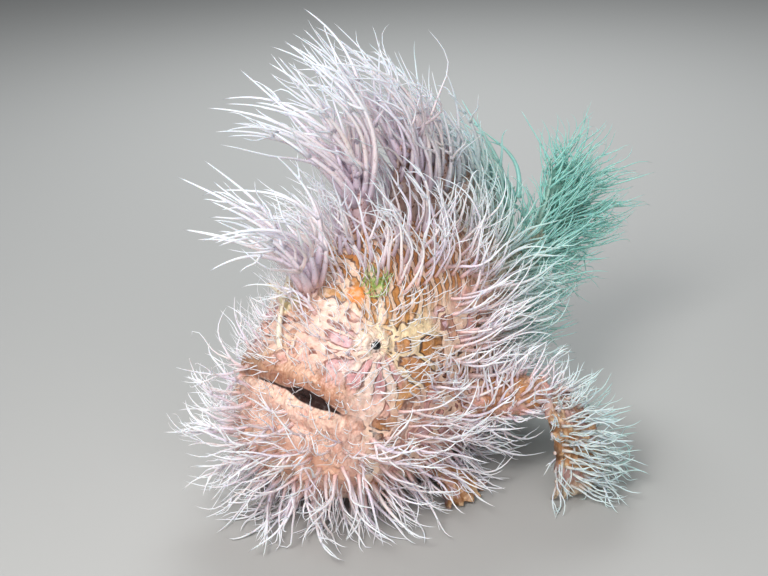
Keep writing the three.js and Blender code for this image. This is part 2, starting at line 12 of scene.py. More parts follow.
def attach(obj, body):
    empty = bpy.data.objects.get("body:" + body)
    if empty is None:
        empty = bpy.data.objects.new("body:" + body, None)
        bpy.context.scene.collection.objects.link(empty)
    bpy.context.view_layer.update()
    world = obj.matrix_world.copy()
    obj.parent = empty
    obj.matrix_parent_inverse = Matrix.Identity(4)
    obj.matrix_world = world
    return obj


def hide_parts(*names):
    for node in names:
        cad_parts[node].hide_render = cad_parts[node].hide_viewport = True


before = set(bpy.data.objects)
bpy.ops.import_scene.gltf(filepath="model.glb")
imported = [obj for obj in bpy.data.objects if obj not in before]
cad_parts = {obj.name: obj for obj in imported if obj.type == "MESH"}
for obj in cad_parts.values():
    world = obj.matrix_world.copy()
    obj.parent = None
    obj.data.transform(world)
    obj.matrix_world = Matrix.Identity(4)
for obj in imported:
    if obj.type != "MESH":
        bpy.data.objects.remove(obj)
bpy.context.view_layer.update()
MM = 0.001

# The camera stands off the fish's left cheek and looks down a little, rolled slightly,
# as a diver holds it. It is aimed by its heading round the fish and its height above the horizon.
CAMERA_HEADING = math.radians(41.8)
CAMERA_HEIGHT = math.radians(23.3)
CAMERA_ROLL = math.radians(-2.4)
CAMERA_AWAY_MM = 474
CAMERA_AIM_MM = Vector((-2.8, -0.4, 64.3))
CAMERA_VIEW = math.radians(30)

back = Vector((math.cos(CAMERA_HEADING) * math.cos(CAMERA_HEIGHT),
               math.sin(CAMERA_HEADING) * math.cos(CAMERA_HEIGHT), math.sin(CAMERA_HEIGHT)))
right = Vector((0, 0, 1)).cross(back).normalized()
up = back.cross(right)
across = right * math.cos(CAMERA_ROLL) + up * math.sin(CAMERA_ROLL)
upward = up * math.cos(CAMERA_ROLL) - right * math.sin(CAMERA_ROLL)
camera = bpy.data.objects.new("camera", bpy.data.cameras.new("camera"))
camera.data.sensor_width = 36
camera.data.lens = 18 / math.tan(CAMERA_VIEW / 2)
stand = (CAMERA_AIM_MM + back * CAMERA_AWAY_MM) * MM
camera.matrix_world = Matrix.Translation(stand) @ Matrix((across, upward, back)).transposed().to_4x4()
camera.data.clip_start = 0.01
bpy.context.scene.collection.objects.link(camera)
bpy.context.scene.camera = camera
bpy.context.scene.view_settings.view_transform = "Standard"


# The skin is one soft bag over the whole fish: trunk, head, jaws, tail root, the arm-like
# fins' stalks and the two free spines. The forms are made apart, run together by a fine
# remesh and then worked by hand-like moves: lips, lids, folds and warts.
BODY_LINES = np.array([  # tail root to snout: middle x, y, z, half height, half width
    [-74, 13.5, 61, 0, 0],
    [-72.5, 13, 60.5, 7.5, 3],
    [-64, 10, 57, 11, 6],
    [-54, 6.5, 53, 17, 10.5],
    [-42, 3.5, 49.5, 26, 17.5],
    [-28, 1.2, 46, 35, 25],
    [-12, 0, 42.8, 42, 30],
    [4, 0, 42, 43, 31.5],
    [20, 0, 40.6, 40.8, 30.5],
    [32, 0, 38.5, 34.5, 28.5],
    [42, 0, 35.5, 27, 25.5],
    [49, 0, 33, 18.5, 20.5],
    [53, 0, 31.5, 9.5, 12],
    [54.5, 0, 31, 0, 0],
], dtype=float)
BODY_LAST = len(BODY_LINES) - 1
BODY_SQUARENESS = 2.2
SKIN_DEPTH = 0.25  # the skin lies this far inside the solids
VOXEL_MM = 0.75
THINNEST = 0.2  # the share of its size that the trunk keeps where it closes
PEAR_SHAPE = 0.08  # how much the trunk narrows towards its back


def mix(a, b, t):
    return a + (b - a) * t


def rise(low, high, value):
    t = np.clip((np.asarray(value, float) - low) / (high - low), 0, 1)
    return t * t * (3 - 2 * t)


def unit(vectors):
    return vectors / np.maximum(np.linalg.norm(vectors, axis=-1, keepdims=True), 1e-9)


def body_line(k):
    place = np.clip(k, 0, BODY_LAST - 1e-9)
    i = place.astype(int)
    t = (place - i)[:, None]
    before, start, end, after = (BODY_LINES[np.clip(i + d, 0, BODY_LAST)] for d in (-1, 0, 1, 2))
    return 0.5 * (2 * start + (end - before) * t + (2 * before - 5 * start + 4 * end - after) * t ** 2
                  + (3 * start - before - 3 * end + after) * t ** 3)


def squarish(turn):
    return np.sign(turn) * np.abs(turn) ** (2 / BODY_SQUARENESS)


def body_points(k, angle, inside=SKIN_DEPTH):
    """Points of the trunk: k counts along BODY_LINES and angle goes round from the left."""
    x, y, z, height, width = body_line(np.asarray(k, float)).T
    height = np.maximum(height - inside, height * THINNEST)
    width = np.maximum(width - inside, width * THINNEST)
    side, top = np.cos(angle), np.sin(angle)
    across = width * squarish(side) * (1 - PEAR_SHAPE * top)
    return np.stack([x, y + across, z + height * squarish(top)], 1)


def body_point(k, angle, inside=0.0):
    return body_points(np.array([k]), np.array([angle]), inside)[0]


def mesh_object(name, bm):
    mesh = bpy.data.meshes.new(name)
    bm.normal_update()
    bm.to_mesh(mesh)
    bm.free()
    piece = bpy.data.objects.new(name, mesh)
    bpy.context.scene.collection.objects.link(piece)
    return piece


def points_of(mesh):
    flat = np.empty(len(mesh.vertices) * 3)
    mesh.vertices.foreach_get("co", flat)
    return flat.reshape(-1, 3)


def set_points(mesh, points):
    mesh.vertices.foreach_set("co", np.asarray(points, float).ravel())
    mesh.update()


def ball(around, along):
    bm = bmesh.new()
    bmesh.ops.create_uvsphere(bm, u_segments=around, v_segments=along, radius=1)
    return bm


def ball_form(name, around, along, place):
    """A ball whose poles run along a form: place(t, angle) gives the form's own points."""
    piece = mesh_object(name, ball(around, along))
    co = points_of(piece.data)
    t = 1 - np.arccos(np.clip(co[:, 2], -1, 1)) / math.pi
    set_points(piece.data, place(t, np.arctan2(co[:, 1], co[:, 0])))
    return piece


def bezier(points, t):
    a, b, c = (np.array(p, float) for p in points)
    t = np.asarray(t, float)[:, None]
    middle = a * (1 - t) ** 2 + 2 * b * t * (1 - t) + c * t ** 2
    return middle, unit(2 * (b - a) * (1 - t) + 2 * (c - b) * t)


def limb_form(name, points, radii, around=32, along=40, bulge=0.0):
    """A rounded limb along a bent line, from the first radius to the second."""
    def place(t, angle):
        centre, ahead = bezier(points, t)
        side = unit(np.cross(ahead, np.where(np.abs(ahead[:, 2:]) > 0.9, [-1.0, 0, 0], [0, 0, 1.0])))
        lift = np.cross(side, ahead)
        plump = np.maximum(np.sin(math.pi * t), 0) ** 0.35
        radius = mix(radii[0], radii[1], t) * plump * (1 + bulge * np.sin(math.pi * t) ** 2)
        return centre + side * (np.cos(angle) * radius)[:, None] + lift * (np.sin(angle) * radius)[:, None]
    return ball_form(name, around, along, place)


# Each limb and spine follows a bent line through three points, root first
ARM = [(-8, 22, 27), (-15, 41, 33), (-23, 54, 34)]
ARM_RADII = (8, 6)
LEG = [(9, 11, 11), (6, 20, 9.5), (3, 27, 7.5)]
LEG_RADII = (6.2, 4.2)
RIGHT_STRIDE = 6  # the right arm stands this far ahead of the left one
SPINE_2 = [(33, 0, 69), (33, 1, 80), (32, 2.5, 88)]
SPINE_2_RADII = (3.4, 2.2)
SPINE_3 = [(8, 0, 81), (7, -1, 96), (8, -2, 110)]
SPINE_3_RADII = (5.2, 3.2)
SPINE_3_WEB = [(-3, 0, 82), (0, -1, 91), (5, -2, 103)]
EYE_MOUND = [(17, 15, 56), (24, 20, 60), (28, 22, 60)]
CHIN_LOBE = [(43, 17, 29), (47, 9, 24), (47.5, 0, 22)]
SNOUT_KNOB = [(41, 0, 57), (44.5, 0, 60), (46.5, 0, 62)]
CRUST_MIDDLE = np.array([35.5, -7, 69.5])
CRUST_SPREAD = np.array([2.4, 3.0, 1.6])
CRUST_KNOBS = 9


def on_side(points, side, stride):
    return [(x + stride, y * side, z) for x, y, z in points]


SIDES = {"left": (1, 0), "right": (-1, RIGHT_STRIDE)}
forms = [ball_form("trunk", 128, 150, lambda t, angle: body_points(t * BODY_LAST, angle))]

MOUTH_TILT = math.atan(0.814)
MOUTH_NORMAL = np.array([-math.sin(MOUTH_TILT), 0, math.cos(MOUTH_TILT)])
MOUTH_AHEAD = np.array([math.cos(MOUTH_TILT), 0, math.sin(MOUTH_TILT)])
MOUTH_POINT = np.array([48.1, 0, 49.2])
MOUTH_HALF_WIDTH = 21.0
MOUTH_DEPTH = 10.0
MOUTH_GAPE = 1.7
MOUTH_OPEN_TO = 4.5  # the lips are parted from the left corner to here
MOUTH_DROOP = 1.0
LIPS_SHUT_HALF = 0.35  # half the wedge's thickness at its fine back edge


def above_mouth(points):
    """Height over the mouth line, which droops a little towards its corners."""
    droop = MOUTH_DROOP * (np.abs(points[:, 1]) / MOUTH_HALF_WIDTH) ** 3
    return (points - MOUTH_POINT) @ MOUTH_NORMAL + droop


def join(name, pieces):
    bm = bmesh.new()
    for piece in pieces:
        bm.from_mesh(piece.data)
        bpy.data.objects.remove(piece)
    return mesh_object(name, bm)


def finish_modifiers(piece):
    bpy.context.view_layer.update()
    finished = bpy.data.meshes.new_from_object(piece.evaluated_get(bpy.context.evaluated_depsgraph_get()))
    piece.modifiers.clear()
    piece.data = finished


def slab(name, across, along):
    """A flat grid under a second one, to be bent into shape. Its faces are sorted, so that
    each run draws the same filament roots on it."""
    bm = bmesh.new()
    bmesh.ops.create_grid(bm, x_segments=across, y_segments=along, size=1)
    lower = len(bm.verts)
    bmesh.ops.extrude_face_region(bm, geom=bm.faces[:], use_keep_orig=True)
    bm.verts.ensure_lookup_table()
    for vert in bm.verts[lower:]:
        vert.co.z = 1
    bmesh.ops.recalc_face_normals(bm, faces=bm.faces[:])
    bm.faces.sort(key=lambda face: face.calc_center_median().dot(Vector((1, 100, 1000))))
    return mesh_object(name, bm)


def mouth_wedge():
    """The space between the parted lips, widest at the skin."""
    piece = slab("mouth_wedge", 24, 6)
    co = points_of(piece.data)
    y = mix(MOUTH_HALF_WIDTH, MOUTH_OPEN_TO, (co[:, 0] + 1) / 2)
    corner = 1 - co[:, 0] ** 2
    ahead = mix(-MOUTH_DEPTH * (0.35 + 0.65 * corner), 16, (co[:, 1] + 1) / 2)
    half = mix(LIPS_SHUT_HALF, MOUTH_GAPE, rise(-0.9, 0.6, co[:, 1])) * (0.06 + 0.94 * corner ** 0.7)
    droop = -MOUTH_DROOP * np.abs(y / MOUTH_HALF_WIDTH) ** 3
    height = droop + (co[:, 2] * 2 - 1) * half
    points = MOUTH_POINT + ahead[:, None] * MOUTH_AHEAD + height[:, None] * MOUTH_NORMAL
    points[:, 1] = y
    set_points(piece.data, points)
    return piece


wedge = mouth_wedge()
cut = forms[0].modifiers.new("mouth", "BOOLEAN")
cut.operation, cut.solver, cut.object = "DIFFERENCE", "EXACT", wedge
finish_modifiers(forms[0])
bpy.data.objects.remove(wedge)

EYE_RADIUS = 2.9
EYE_CENTRE = np.array([27.4, 21.3, 61.0])
EYE_AXIS = unit(np.array([0.42, 0.78, 0.42]))
for name, (side, stride) in SIDES.items():
    forms.append(limb_form("arm_" + name, on_side(ARM, side, stride), ARM_RADII))
    forms.append(limb_form("leg_" + name, on_side(LEG, side, 0), LEG_RADII))
    forms.append(limb_form("eye_mound_" + name, on_side(EYE_MOUND, side, 0), (7.5, 5.6)))
    forms.append(limb_form("chin_lobe_" + name, on_side(CHIN_LOBE, side, 0), (5, 5.5)))
forms.append(limb_form("spine_two", SPINE_2, SPINE_2_RADII))
forms.append(limb_form("spine_three", SPINE_3, SPINE_3_RADII, bulge=-0.12))
forms.append(limb_form("spine_three_web", SPINE_3_WEB, (3.5, 1.6)))
crust = np.random.default_rng(5)
for i in range(CRUST_KNOBS):
    spot = CRUST_MIDDLE + crust.normal(size=3) * CRUST_SPREAD
    knob = [spot, spot + [0.6, -0.5, 1.4], spot + [0.6, -0.9, 2.8]]
    forms.append(limb_form("crust_%d" % i, knob, (1.7, 1.3), 16, 14))
forms.append(limb_form("snout_knob", SNOUT_KNOB, (3.4, 2.2)))
back_ridge = [tuple(body_point(k, math.pi / 2, 2.5)) for k in (6.6, 4.6, 2.7)]
forms.append(limb_form("fin_ridge", back_ridge, (3.4, 2.4)))

skin = join("skin", forms)
remesh = skin.modifiers.new("remesh", "REMESH")
remesh.mode, remesh.voxel_size = "VOXEL", VOXEL_MM
soften = skin.modifiers.new("soften", "SMOOTH")
soften.factor, soften.iterations = 0.5, 8
finish_modifiers(skin)


def refine(piece, near):
    """Splits the faces where near(points) is true, for lids and lips."""
    bm = bmesh.new()
    bm.from_mesh(piece.data)
    centres = np.array([face.calc_center_median() for face in bm.faces])
    chosen = near(centres)
    edges = dict.fromkeys(edge for face, wanted in zip(bm.faces, chosen) if wanted for edge in face.edges)
    bmesh.ops.subdivide_edges(bm, edges=list(edges), cuts=1, use_grid_fill=True, smooth=0.0)
    bm.to_mesh(piece.data)
    bm.free()


def from_eye(points):
    left_like = np.stack([points[:, 0], np.abs(points[:, 1]), points[:, 2]], 1)
    return np.linalg.norm(left_like - EYE_CENTRE, axis=1)


def at_lips(points, reach):
    return (np.abs(above_mouth(points)) < reach) & (points[:, 0] > 36) & (np.abs(points[:, 1]) < 24)


refine(skin, lambda p: (from_eye(p) < 8) | at_lips(p, 4))

# Smooth noise from a few waves with seeded headings
waves = np.random.default_rng(7)
WAVE_HEADINGS = unit(waves.normal(size=(24, 3)))
WAVE_PHASES = waves.uniform(0, 2 * math.pi, 24)


def ripple(points, size_mm, kind=0):
    """Soft noise from -1 to 1 with lumps of about that size."""
    picks = range(kind * 6, kind * 6 + 6)
    total = 0
    for i in picks:
        bend = 1.7 * np.sin(points @ WAVE_HEADINGS[(i + 5) % 24] * (3.1 / size_mm) + WAVE_PHASES[i - 1])
        pace = 2 * math.pi / size_mm * (0.7 + 0.12 * (i % 6))
        total = total + np.sin(points @ WAVE_HEADINGS[i] * pace + WAVE_PHASES[i] + bend)
    return total / 3.0


def vertex_normals(mesh):
    flat = np.empty(len(mesh.vertices) * 3)
    mesh.vertex_normals.foreach_get("vector", flat)
    return flat.reshape(-1, 3)


def sculpt(piece, height):
    points = points_of(piece.data)
    set_points(piece.data, points + vertex_normals(piece.data) * height(points)[:, None])


# Ridges and grooves along the mouth and round the eyes: height, distance from the line, width
UPPER_LIP = (2.9, 5.4, 4.0)
LOWER_LIP = (1.5, -4.0, 2.8)
SNOUT_FOLD = (-1.1, 12.5, 1.8)
CHIN_FOLD = (-1.2, -10.0, 2.0)
SHUT_LINE = (-1.0, 0, 0.8)
LID_RIM = (0.9, 1.1, 0.8)
LID_FOLD = (-0.5, 3.4, 1.2)
FAR_LIP_SIZE = 0.45  # the lips are this much of their full size at the right corner


def ridge(away, height, middle, width):
    return height * np.exp(-((away - middle) / width) ** 2)


def lips(points):
    high, across = above_mouth(points), points[:, 1]
    beside = rise(MOUTH_HALF_WIDTH - 1, MOUTH_HALF_WIDTH + 5, np.abs(across))
    face = rise(34, 41, points[:, 0]) * (1 - beside)
    full = ridge(high, *UPPER_LIP) + ridge(high, *LOWER_LIP)
    full = full * mix(FAR_LIP_SIZE, 1.0, rise(-14, 4, across))
    fold = ridge(high, *SNOUT_FOLD) + ridge(high, *CHIN_FOLD)
    shut = ridge(high, *SHUT_LINE) * (1 - rise(MOUTH_OPEN_TO - 3, MOUTH_OPEN_TO + 2, across))
    fibres = 0.16 * ripple(points * [1, 2.2, 1], 3.6, 3) * ridge(high, 1, 0, 9)
    return (full + fold + shut + fibres) * face


def folds(points):
    cheek = rise(20, 34, points[:, 0]) * rise(6, 16, np.abs(points[:, 1]))
    radial = from_eye(points)
    crease = np.sin(radial * 0.95 + 1.4 * ripple(points, 16, 1))
    body = rise(-60, -30, points[:, 0])
    warts = 0.30 * np.maximum(ripple(points, 3.1, 3), 0) ** 2
    return (0.38 * ripple(points, 9, 0) + 0.25 * ripple(points, 4, 2) + warts) * body + 0.2 * crease * cheek


def eye_lids(points):
    away = from_eye(points) - EYE_RADIUS
    return ridge(away, *LID_RIM) + ridge(away, *LID_FOLD)


sculpt(skin, lips)
sculpt(skin, folds)
sculpt(skin, eye_lids)

# The skin turns in under the lids, round the eyeball, and lies flat where it meets the floor
LID_GAP = 0.12
points = points_of(skin.data)
side_of = np.sign(points[:, 1:2] + 1e-9)
centre = EYE_CENTRE * np.concatenate([np.ones_like(side_of), side_of, np.ones_like(side_of)], 1)
away = points - centre
distance = np.linalg.norm(away, axis=1, keepdims=True)
hidden = distance < EYE_RADIUS + LID_GAP
points = np.where(hidden, centre + away * (EYE_RADIUS * 0.8 / np.maximum(distance, 0.5)), points)
points[:, 2] = np.maximum(points[:, 2], 0.0)
set_points(skin.data, points * MM)


def smooth_shade(piece):
    piece.data.polygons.foreach_set("use_smooth", [True] * len(piece.data.polygons))


smooth_shade(skin)


class Wire:
    """A shader socket that takes part in Python sums. The tree in hand is Wire.tree."""
    tree = None

    def __init__(self, out):
        self.out = out

    @classmethod
    def node(cls, kind, settings=None, inputs=None, output=0):
        made = cls.tree.nodes.new(kind)
        for name, value in (settings or {}).items():
            if name == "stops":
                ramp = made.color_ramp
                while len(ramp.elements) < len(value):
                    ramp.elements.new(0.5)
                for element, (place, colour) in zip(ramp.elements, value):
                    element.position, element.color = place, (*colour, 1)
            else:
                setattr(made, name, value)
        for key, value in (inputs or {}).items():
            if isinstance(value, Wire):
                cls.tree.links.new(value.out, made.inputs[key])
            else:
                made.inputs[key].default_value = value
        return Wire(made.outputs[output])

    def sum(self, operation, *others):
        inputs = {i: value for i, value in enumerate((self, *others))}
        return Wire.node("ShaderNodeMath", {"operation": operation}, inputs)

    def __add__(self, other):
        return self.sum("ADD", other)

    def __mul__(self, other):
        return self.sum("MULTIPLY", other)

    def __sub__(self, other):
        return self.sum("SUBTRACT", other)

    def __rsub__(self, other):
        return Wire.node("ShaderNodeMath", {"operation": "SUBTRACT"}, {0: other, 1: self})

    __radd__, __rmul__ = __add__, __mul__

    def __truediv__(self, other):
        return self.sum("DIVIDE", other)

    def __abs__(self):
        return self.sum("ABSOLUTE")

    def step(self, low, high):
        """0 below low, 1 above high and soft between; high may be the lower one."""
        settings = {"interpolation_type": "SMOOTHSTEP"}
        if low < high:
            return Wire.node("ShaderNodeMapRange", settings, {0: self, 1: low, 2: high, 3: 0.0, 4: 1.0})
        return Wire.node("ShaderNodeMapRange", settings, {0: self, 1: high, 2: low, 3: 1.0, 4: 0.0})


def vector(operation, a, b=None, output=0):
    inputs = {0: a} if b is None else {0: a, (3 if operation == "SCALE" else 1): b}
    return Wire.node("ShaderNodeVectorMath", {"operation": operation}, inputs, output)


def length_of(arrow):
    return vector("LENGTH", arrow, None, 1)


def dot(a, b):
    return vector("DOT_PRODUCT", a, b, 1)


def rgb(colour):
    return (*colour, 1)


def blend(mask, a, b):
    ends = {6: rgb(a) if isinstance(a, tuple) else a, 7: rgb(b) if isinstance(b, tuple) else b}
    return Wire.node("ShaderNodeMix", {"data_type": "RGBA"}, {0: mask, **ends}, 2)


def noise(where, scale, detail=3.0, rough=0.55, output=0):
    inputs = {"Vector": where, "Scale": scale, "Detail": detail, "Roughness": rough}
    return Wire.node("ShaderNodeTexNoise", None, inputs, output)


def cells(where, scale, feature="F1", output=0):
    return Wire.node("ShaderNodeTexVoronoi", {"feature": feature}, {"Vector": where, "Scale": scale}, output)


def pieces_of(where):
    return [Wire.node("ShaderNodeSeparateXYZ", None, {0: where}, i) for i in range(3)]


def together(x, y, z):
    return Wire.node("ShaderNodeCombineXYZ", None, {0: x, 1: y, 2: z})


def ramp(value, *stops):
    return Wire.node("ShaderNodeValToRGB", {"stops": stops}, {0: value})


def place_mm():
    return vector("SCALE", Wire.node("ShaderNodeTexCoord", None, None, 3), 1000.0)


def material(name, colour, rough, bump=None, bump_mm=0.2, **constants):
    """colour, rough and bump are called with the place in millimetres once the tree is in hand."""
    made = bpy.data.materials.new(name)
    made.use_nodes = True
    Wire.tree = made.node_tree
    shader = made.node_tree.nodes["Principled BSDF"]
    where = place_mm()
    for socket, source in (("Base Color", colour), ("Roughness", rough)):
        value = source(where) if callable(source) else source
        if isinstance(value, Wire):
            made.node_tree.links.new(value.out, shader.inputs[socket])
        else:
            shader.inputs[socket].default_value = rgb(value) if isinstance(value, tuple) else value
    if bump:
        inputs = {"Height": bump(where), "Distance": bump_mm * MM, "Strength": 1.0}
        relief = Wire.node("ShaderNodeBump", None, inputs)
        made.node_tree.links.new(relief.out, shader.inputs["Normal"])
    for socket, value in constants.items():
        shader.inputs[socket.replace("_", " ")].default_value = value
    return made


# Skin colours: cream and rose with amber islands, each ringed by a thin dark line. The marks
# fan out from each eye as wedges and turn to bars on the back and mottling on the flank.
CREAM = (0.87, 0.61, 0.46)
ROSE = (0.76, 0.40, 0.36)
PEACH = (0.84, 0.48, 0.36)
LILAC = (0.62, 0.42, 0.50)
AMBER = (0.50, 0.20, 0.045)
HONEY = (0.70, 0.37, 0.13)
UMBER = (0.25, 0.11, 0.065)
# painted shade for the far, right half of the upper lip
SHADED_LIP_OLIVE = (0.17, 0.11, 0.045)
LINE = (0.035, 0.012, 0.008)
RUST = (0.22, 0.08, 0.06)
CHALK = (0.90, 0.80, 0.62)
# sea green painted at the tail for the green light that falls there
PAINTED_GREEN_LIGHT = (0.07, 0.26, 0.22)
SPOTS = [  # single marks on the skin: middle, size and colour
    ((24, 12, 74), 3.5, (0.80, 0.26, 0.05)),
    ((30, 6, 71), 2.6, (0.95, 0.92, 0.80)),
    ((12, 29, 45), 3.0, AMBER),
    ((17, 14, 76), 2.4, (0.45, 0.55, 0.16)),
    ((35.5, -7, 71.5), 4.2, (0.82, 0.70, 0.42)),
]


# The islands' colours from one kind of cell to the next, near the eye and on the flank
NEAR_TINTS = ((0.0, AMBER), (0.18, HONEY), (0.36, AMBER), (0.56, ROSE), (0.70, PEACH), (0.84, LILAC),
              (1.0, ROSE))
FLANK_TINTS = ((0.0, UMBER), (0.2, AMBER), (0.36, UMBER), (0.6, ROSE), (0.72, LILAC), (0.84, PEACH),
               (1.0, UMBER))


def islands(place, kind_bias, ground, tints, grain):
    """Cells with a dark outline on a pale ground; kinds between 0.38 and 0.54 have no island."""
    edge = cells(place, 1.0, "DISTANCE_TO_EDGE")
    kind = pieces_of(cells(place, 1.0, "F1", 1))[0] * 0.62 + kind_bias
    marked = 1 - kind.step(0.36, 0.38) * kind.step(0.56, 0.54)
    inside = blend(grain * 0.22, ramp(kind, *tints), HONEY)
    pattern = blend(edge.step(0.115, 0.145) * marked, blend(grain * 0.3, ground, CHALK), inside)
    outline = edge.step(0.075, 0.105) * edge.step(0.185, 0.145) * marked
    return blend(outline * 0.92, pattern, blend(kind.step(0.5, 0.6), LINE, RUST))


def cheek_wedges(where, turn, grain):
    """Rose wedges with dark edges on a pale ground, fanning out below the eye."""
    wedge = (turn * 10.0 + noise(where, 0.2, 2.0) * 3.0).sum("SINE")
    wedges = blend(wedge.step(0.0, 0.2), (0.90, 0.68, 0.58), blend(grain * 0.4, (0.64, 0.30, 0.32), ROSE))
    return blend(abs(wedge - 0.1).step(0.42, 0.2), wedges, (0.12, 0.04, 0.03))


def back_bars(where):
    """Amber bars with dark edges across the back."""
    bars = dot(where, (0.85, 0.0, 0.5)) * 2.0 + noise(where, 0.14, 3.0) * 9.0
    bars = bars.sum("SINE")
    zebra = blend(bars.step(0.0, 0.25), CREAM, AMBER)
    return blend(abs(bars - 0.1).step(0.5, 0.25) * 0.85, zebra, LINE)


def skin_colour(where):
    x, y, z = pieces_of(where)
    side = abs(y)
    ex, ez = x - EYE_CENTRE[0], z - EYE_CENTRE[2]
    from_lid = length_of(together(ex, side - EYE_CENTRE[1], ez))
    flat = (ex * ex + ez * ez).sum("SQRT") + 0.01
    warp = vector("SUBTRACT", noise(where, 0.15, 1.5, 0.4, 1), (0.5, 0.5, 0.5))
    ahead, aloft = ex / flat, ez / flat
    fan = together(ahead * 2.1, aloft * 2.1, (from_lid + 1.0).sum("LOGARITHM", 2.718) * 1.1)
    fan = vector("ADD", fan, vector("SCALE", warp, 0.8))
    grain = noise(where, 0.6, 5.0, 0.7).step(0.45, 0.62)
    ground = blend(ahead.step(-0.4, 0.3), (0.92, 0.70, 0.42), (0.88, 0.58, 0.48))
    fan_colour = islands(fan, ahead.step(-0.2, 0.6) * 0.38, ground, NEAR_TINTS, grain)
    plain = vector("ADD", vector("MULTIPLY", where, (0.115, 0.13, 0.15)), vector("SCALE", warp, 1.7))
    kind_bias = noise(where, 0.05, 2.0).step(0.4, 0.6) * 0.38
    patch_colour = islands(plain, kind_bias, CREAM, FLANK_TINTS, grain)
    far = from_lid.step(19.0, 27.0)
    colour = blend(far, fan_colour, patch_colour)
    colour = blend(noise(where, 0.08, 2.0).step(0.44, 0.62) * (0.12 + far * 0.3), colour, ROSE)
    below = aloft.step(-0.15, -0.5) * from_lid.step(3.6, 5.0)
    below = below * from_lid.step(19.0, 13.0) * ahead.step(-0.6, -0.2)
    colour = blend(below * 0.9, colour, cheek_wedges(where, aloft.sum("ARCTAN2", ahead), grain))
    pale = from_lid.step(8.5, 5.0) * (ahead * 0.5 + aloft).step(-0.2, 0.6) + from_lid.step(5.4, 4.4) * 0.6
    colour = blend(pale.sum("MINIMUM", 1.0) * (0.4 + grain * 0.5), colour, (0.93, 0.82, 0.66))
    barred = z.step(63.0, 70.0) * x.step(31.0, 22.0) * x.step(-38.0, -18.0)
    colour = blend(barred * 0.9, colour, back_bars(where))
    for spot, size, tint in SPOTS:
        away = length_of(vector("SUBTRACT", where, spot)) + noise(where, 0.5, 3.0) * size * 0.9
        colour = blend(away.step(size * 1.6, size * 1.2), colour, tint)
    fleck = cells(where, 0.75).step(0.24, 0.14) * noise(where, 0.2).step(0.50, 0.60)
    colour = blend(fleck * 0.5, colour, UMBER)
    rays = together(ahead * 8.0, aloft * 8.0, from_lid * 0.25)
    streaks = noise(rays, 1.0, 3.0, 0.6).step(0.5, 0.62) * x.step(12.0, 24.0)
    colour = blend(streaks * 0.33, colour, (0.93, 0.82, 0.76))
    colour = lip_colour(where, colour, x, y, grain)
    return limb_colour(where, colour, x, y, z, grain)


def over_mouth(where, y):
    """The same height as above_mouth, worked out in the shader."""
    normal, point = Vector(MOUTH_NORMAL), Vector(MOUTH_POINT)
    high = dot(where, tuple(normal)) - normal.dot(point)
    return high + (abs(y) / MOUTH_HALF_WIDTH).sum("POWER", 3.0) * MOUTH_DROOP


def painted_mouth_shade(x, y, high):
    """1 in the mouth's gap and along its shut line, which are painted near black as shade; 0 elsewhere."""
    parted = y.step(MOUTH_OPEN_TO - 1.0, MOUTH_OPEN_TO + 7.0) * y.step(22.5, 15.0)
    line = (abs(high) - parted * 1.7).step(0.6, 0.1) * y.step(-13.0, -5.0)
    return line * x.step(38.0, 42.0) * y.step(23.5, 21.5)


def lip_colour(where, colour, x, y, grain):
    high = over_mouth(where, y)
    streak = noise(vector("MULTIPLY", where, (0.5, 1.5, 0.4)), 1.0, 4.0, 0.7)
    upper = high.step(-0.5, 1.0) * (high + streak * 8).step(16.0, 8.0)
    upper = upper * x.step(35.0, 40.0) * abs(y).step(26.0, 21.0)
    lip = blend(streak.step(0.36, 0.62), (0.44, 0.18, 0.08), (0.80, 0.46, 0.30))
    # Painted shade: the upper lip's far, right half is painted olive and brown, as it lies in shade.
    lip = blend(y.step(1.0, -12.0) * 0.7, lip, blend(streak.step(0.4, 0.6), SHADED_LIP_OLIVE, (0.46, 0.33, 0.18)))
    lip = blend(high.step(8.0, 1.0) * 0.75, lip, (0.26, 0.075, 0.03))
    colour = blend(upper * 0.85, colour, lip)
    lower = high.step(0.5, -1.0) * high.step(-28.0, -18.0) * x.step(36.0, 43.0)
    chin = blend(streak.step(0.35, 0.65), (0.68, 0.34, 0.25), (0.88, 0.62, 0.52))
    chin = blend(high.step(-12.0, -17.0), chin, blend(grain, (0.80, 0.46, 0.33), PEACH))
    colour = blend(lower * 0.75, colour, chin)
    rim = high.step(-5.5, -3.0) * high.step(0.0, -1.6) * x.step(38.0, 42.0) * abs(y).step(25.0, 22.0)
    colour = blend(rim * streak.step(0.3, 0.6) * 0.6, colour, (0.88, 0.66, 0.52))
    # Painted shade: the mouth's gap and its shut line are coloured near black.
    return blend(painted_mouth_shade(x, y, high), colour, (0.022, 0.005, 0.003))


def limb_colour(where, colour, x, y, z, grain):
    """Amber blots on the limbs, dark specks on the lilac spines, and at the tail sea green painted as the
    green light that falls there.
    """
    limb = abs(y).step(33.0, 37.0) * z.step(70.0, 60.0)
    blot = ramp(noise(where, 0.15, 3.0), (0.38, AMBER), (0.46, UMBER), (0.50, (0.62, 0.36, 0.22)),
                (0.64, ROSE))
    colour = blend(limb * 0.85, colour, blot)
    stalk = z.step(87.0, 92.0) + z.step(74.0, 78.0) * x.step(28.5, 30.0)
    speckled = blend(cells(where, 0.9).step(0.25, 0.38), (0.26, 0.12, 0.10), (0.58, 0.42, 0.46))
    colour = blend(stalk.sum("MINIMUM", 1.0) * 0.9, colour, speckled)
    # Painted light: towards the tail the skin is tinted sea green, for the green light that falls there.
    return blend(x.step(-28.0, -70.0) * 0.65, colour, blend(grain, PAINTED_GREEN_LIGHT, (0.38, 0.52, 0.40)))


def skin_rough(where):
    x, y, _ = pieces_of(where)
    inside = painted_mouth_shade(x, y, over_mouth(where, y))
    return noise(where, 0.4, 2.0).step(0.3, 0.7) * 0.22 + inside * 0.44 + 0.34


def skin_relief(where):
    pimples = cells(where, 0.8).step(0.55, 0.1)
    return pimples * 0.4 + noise(where, 0.7, 4.0, 0.55) + noise(where, 0.28, 3.0)


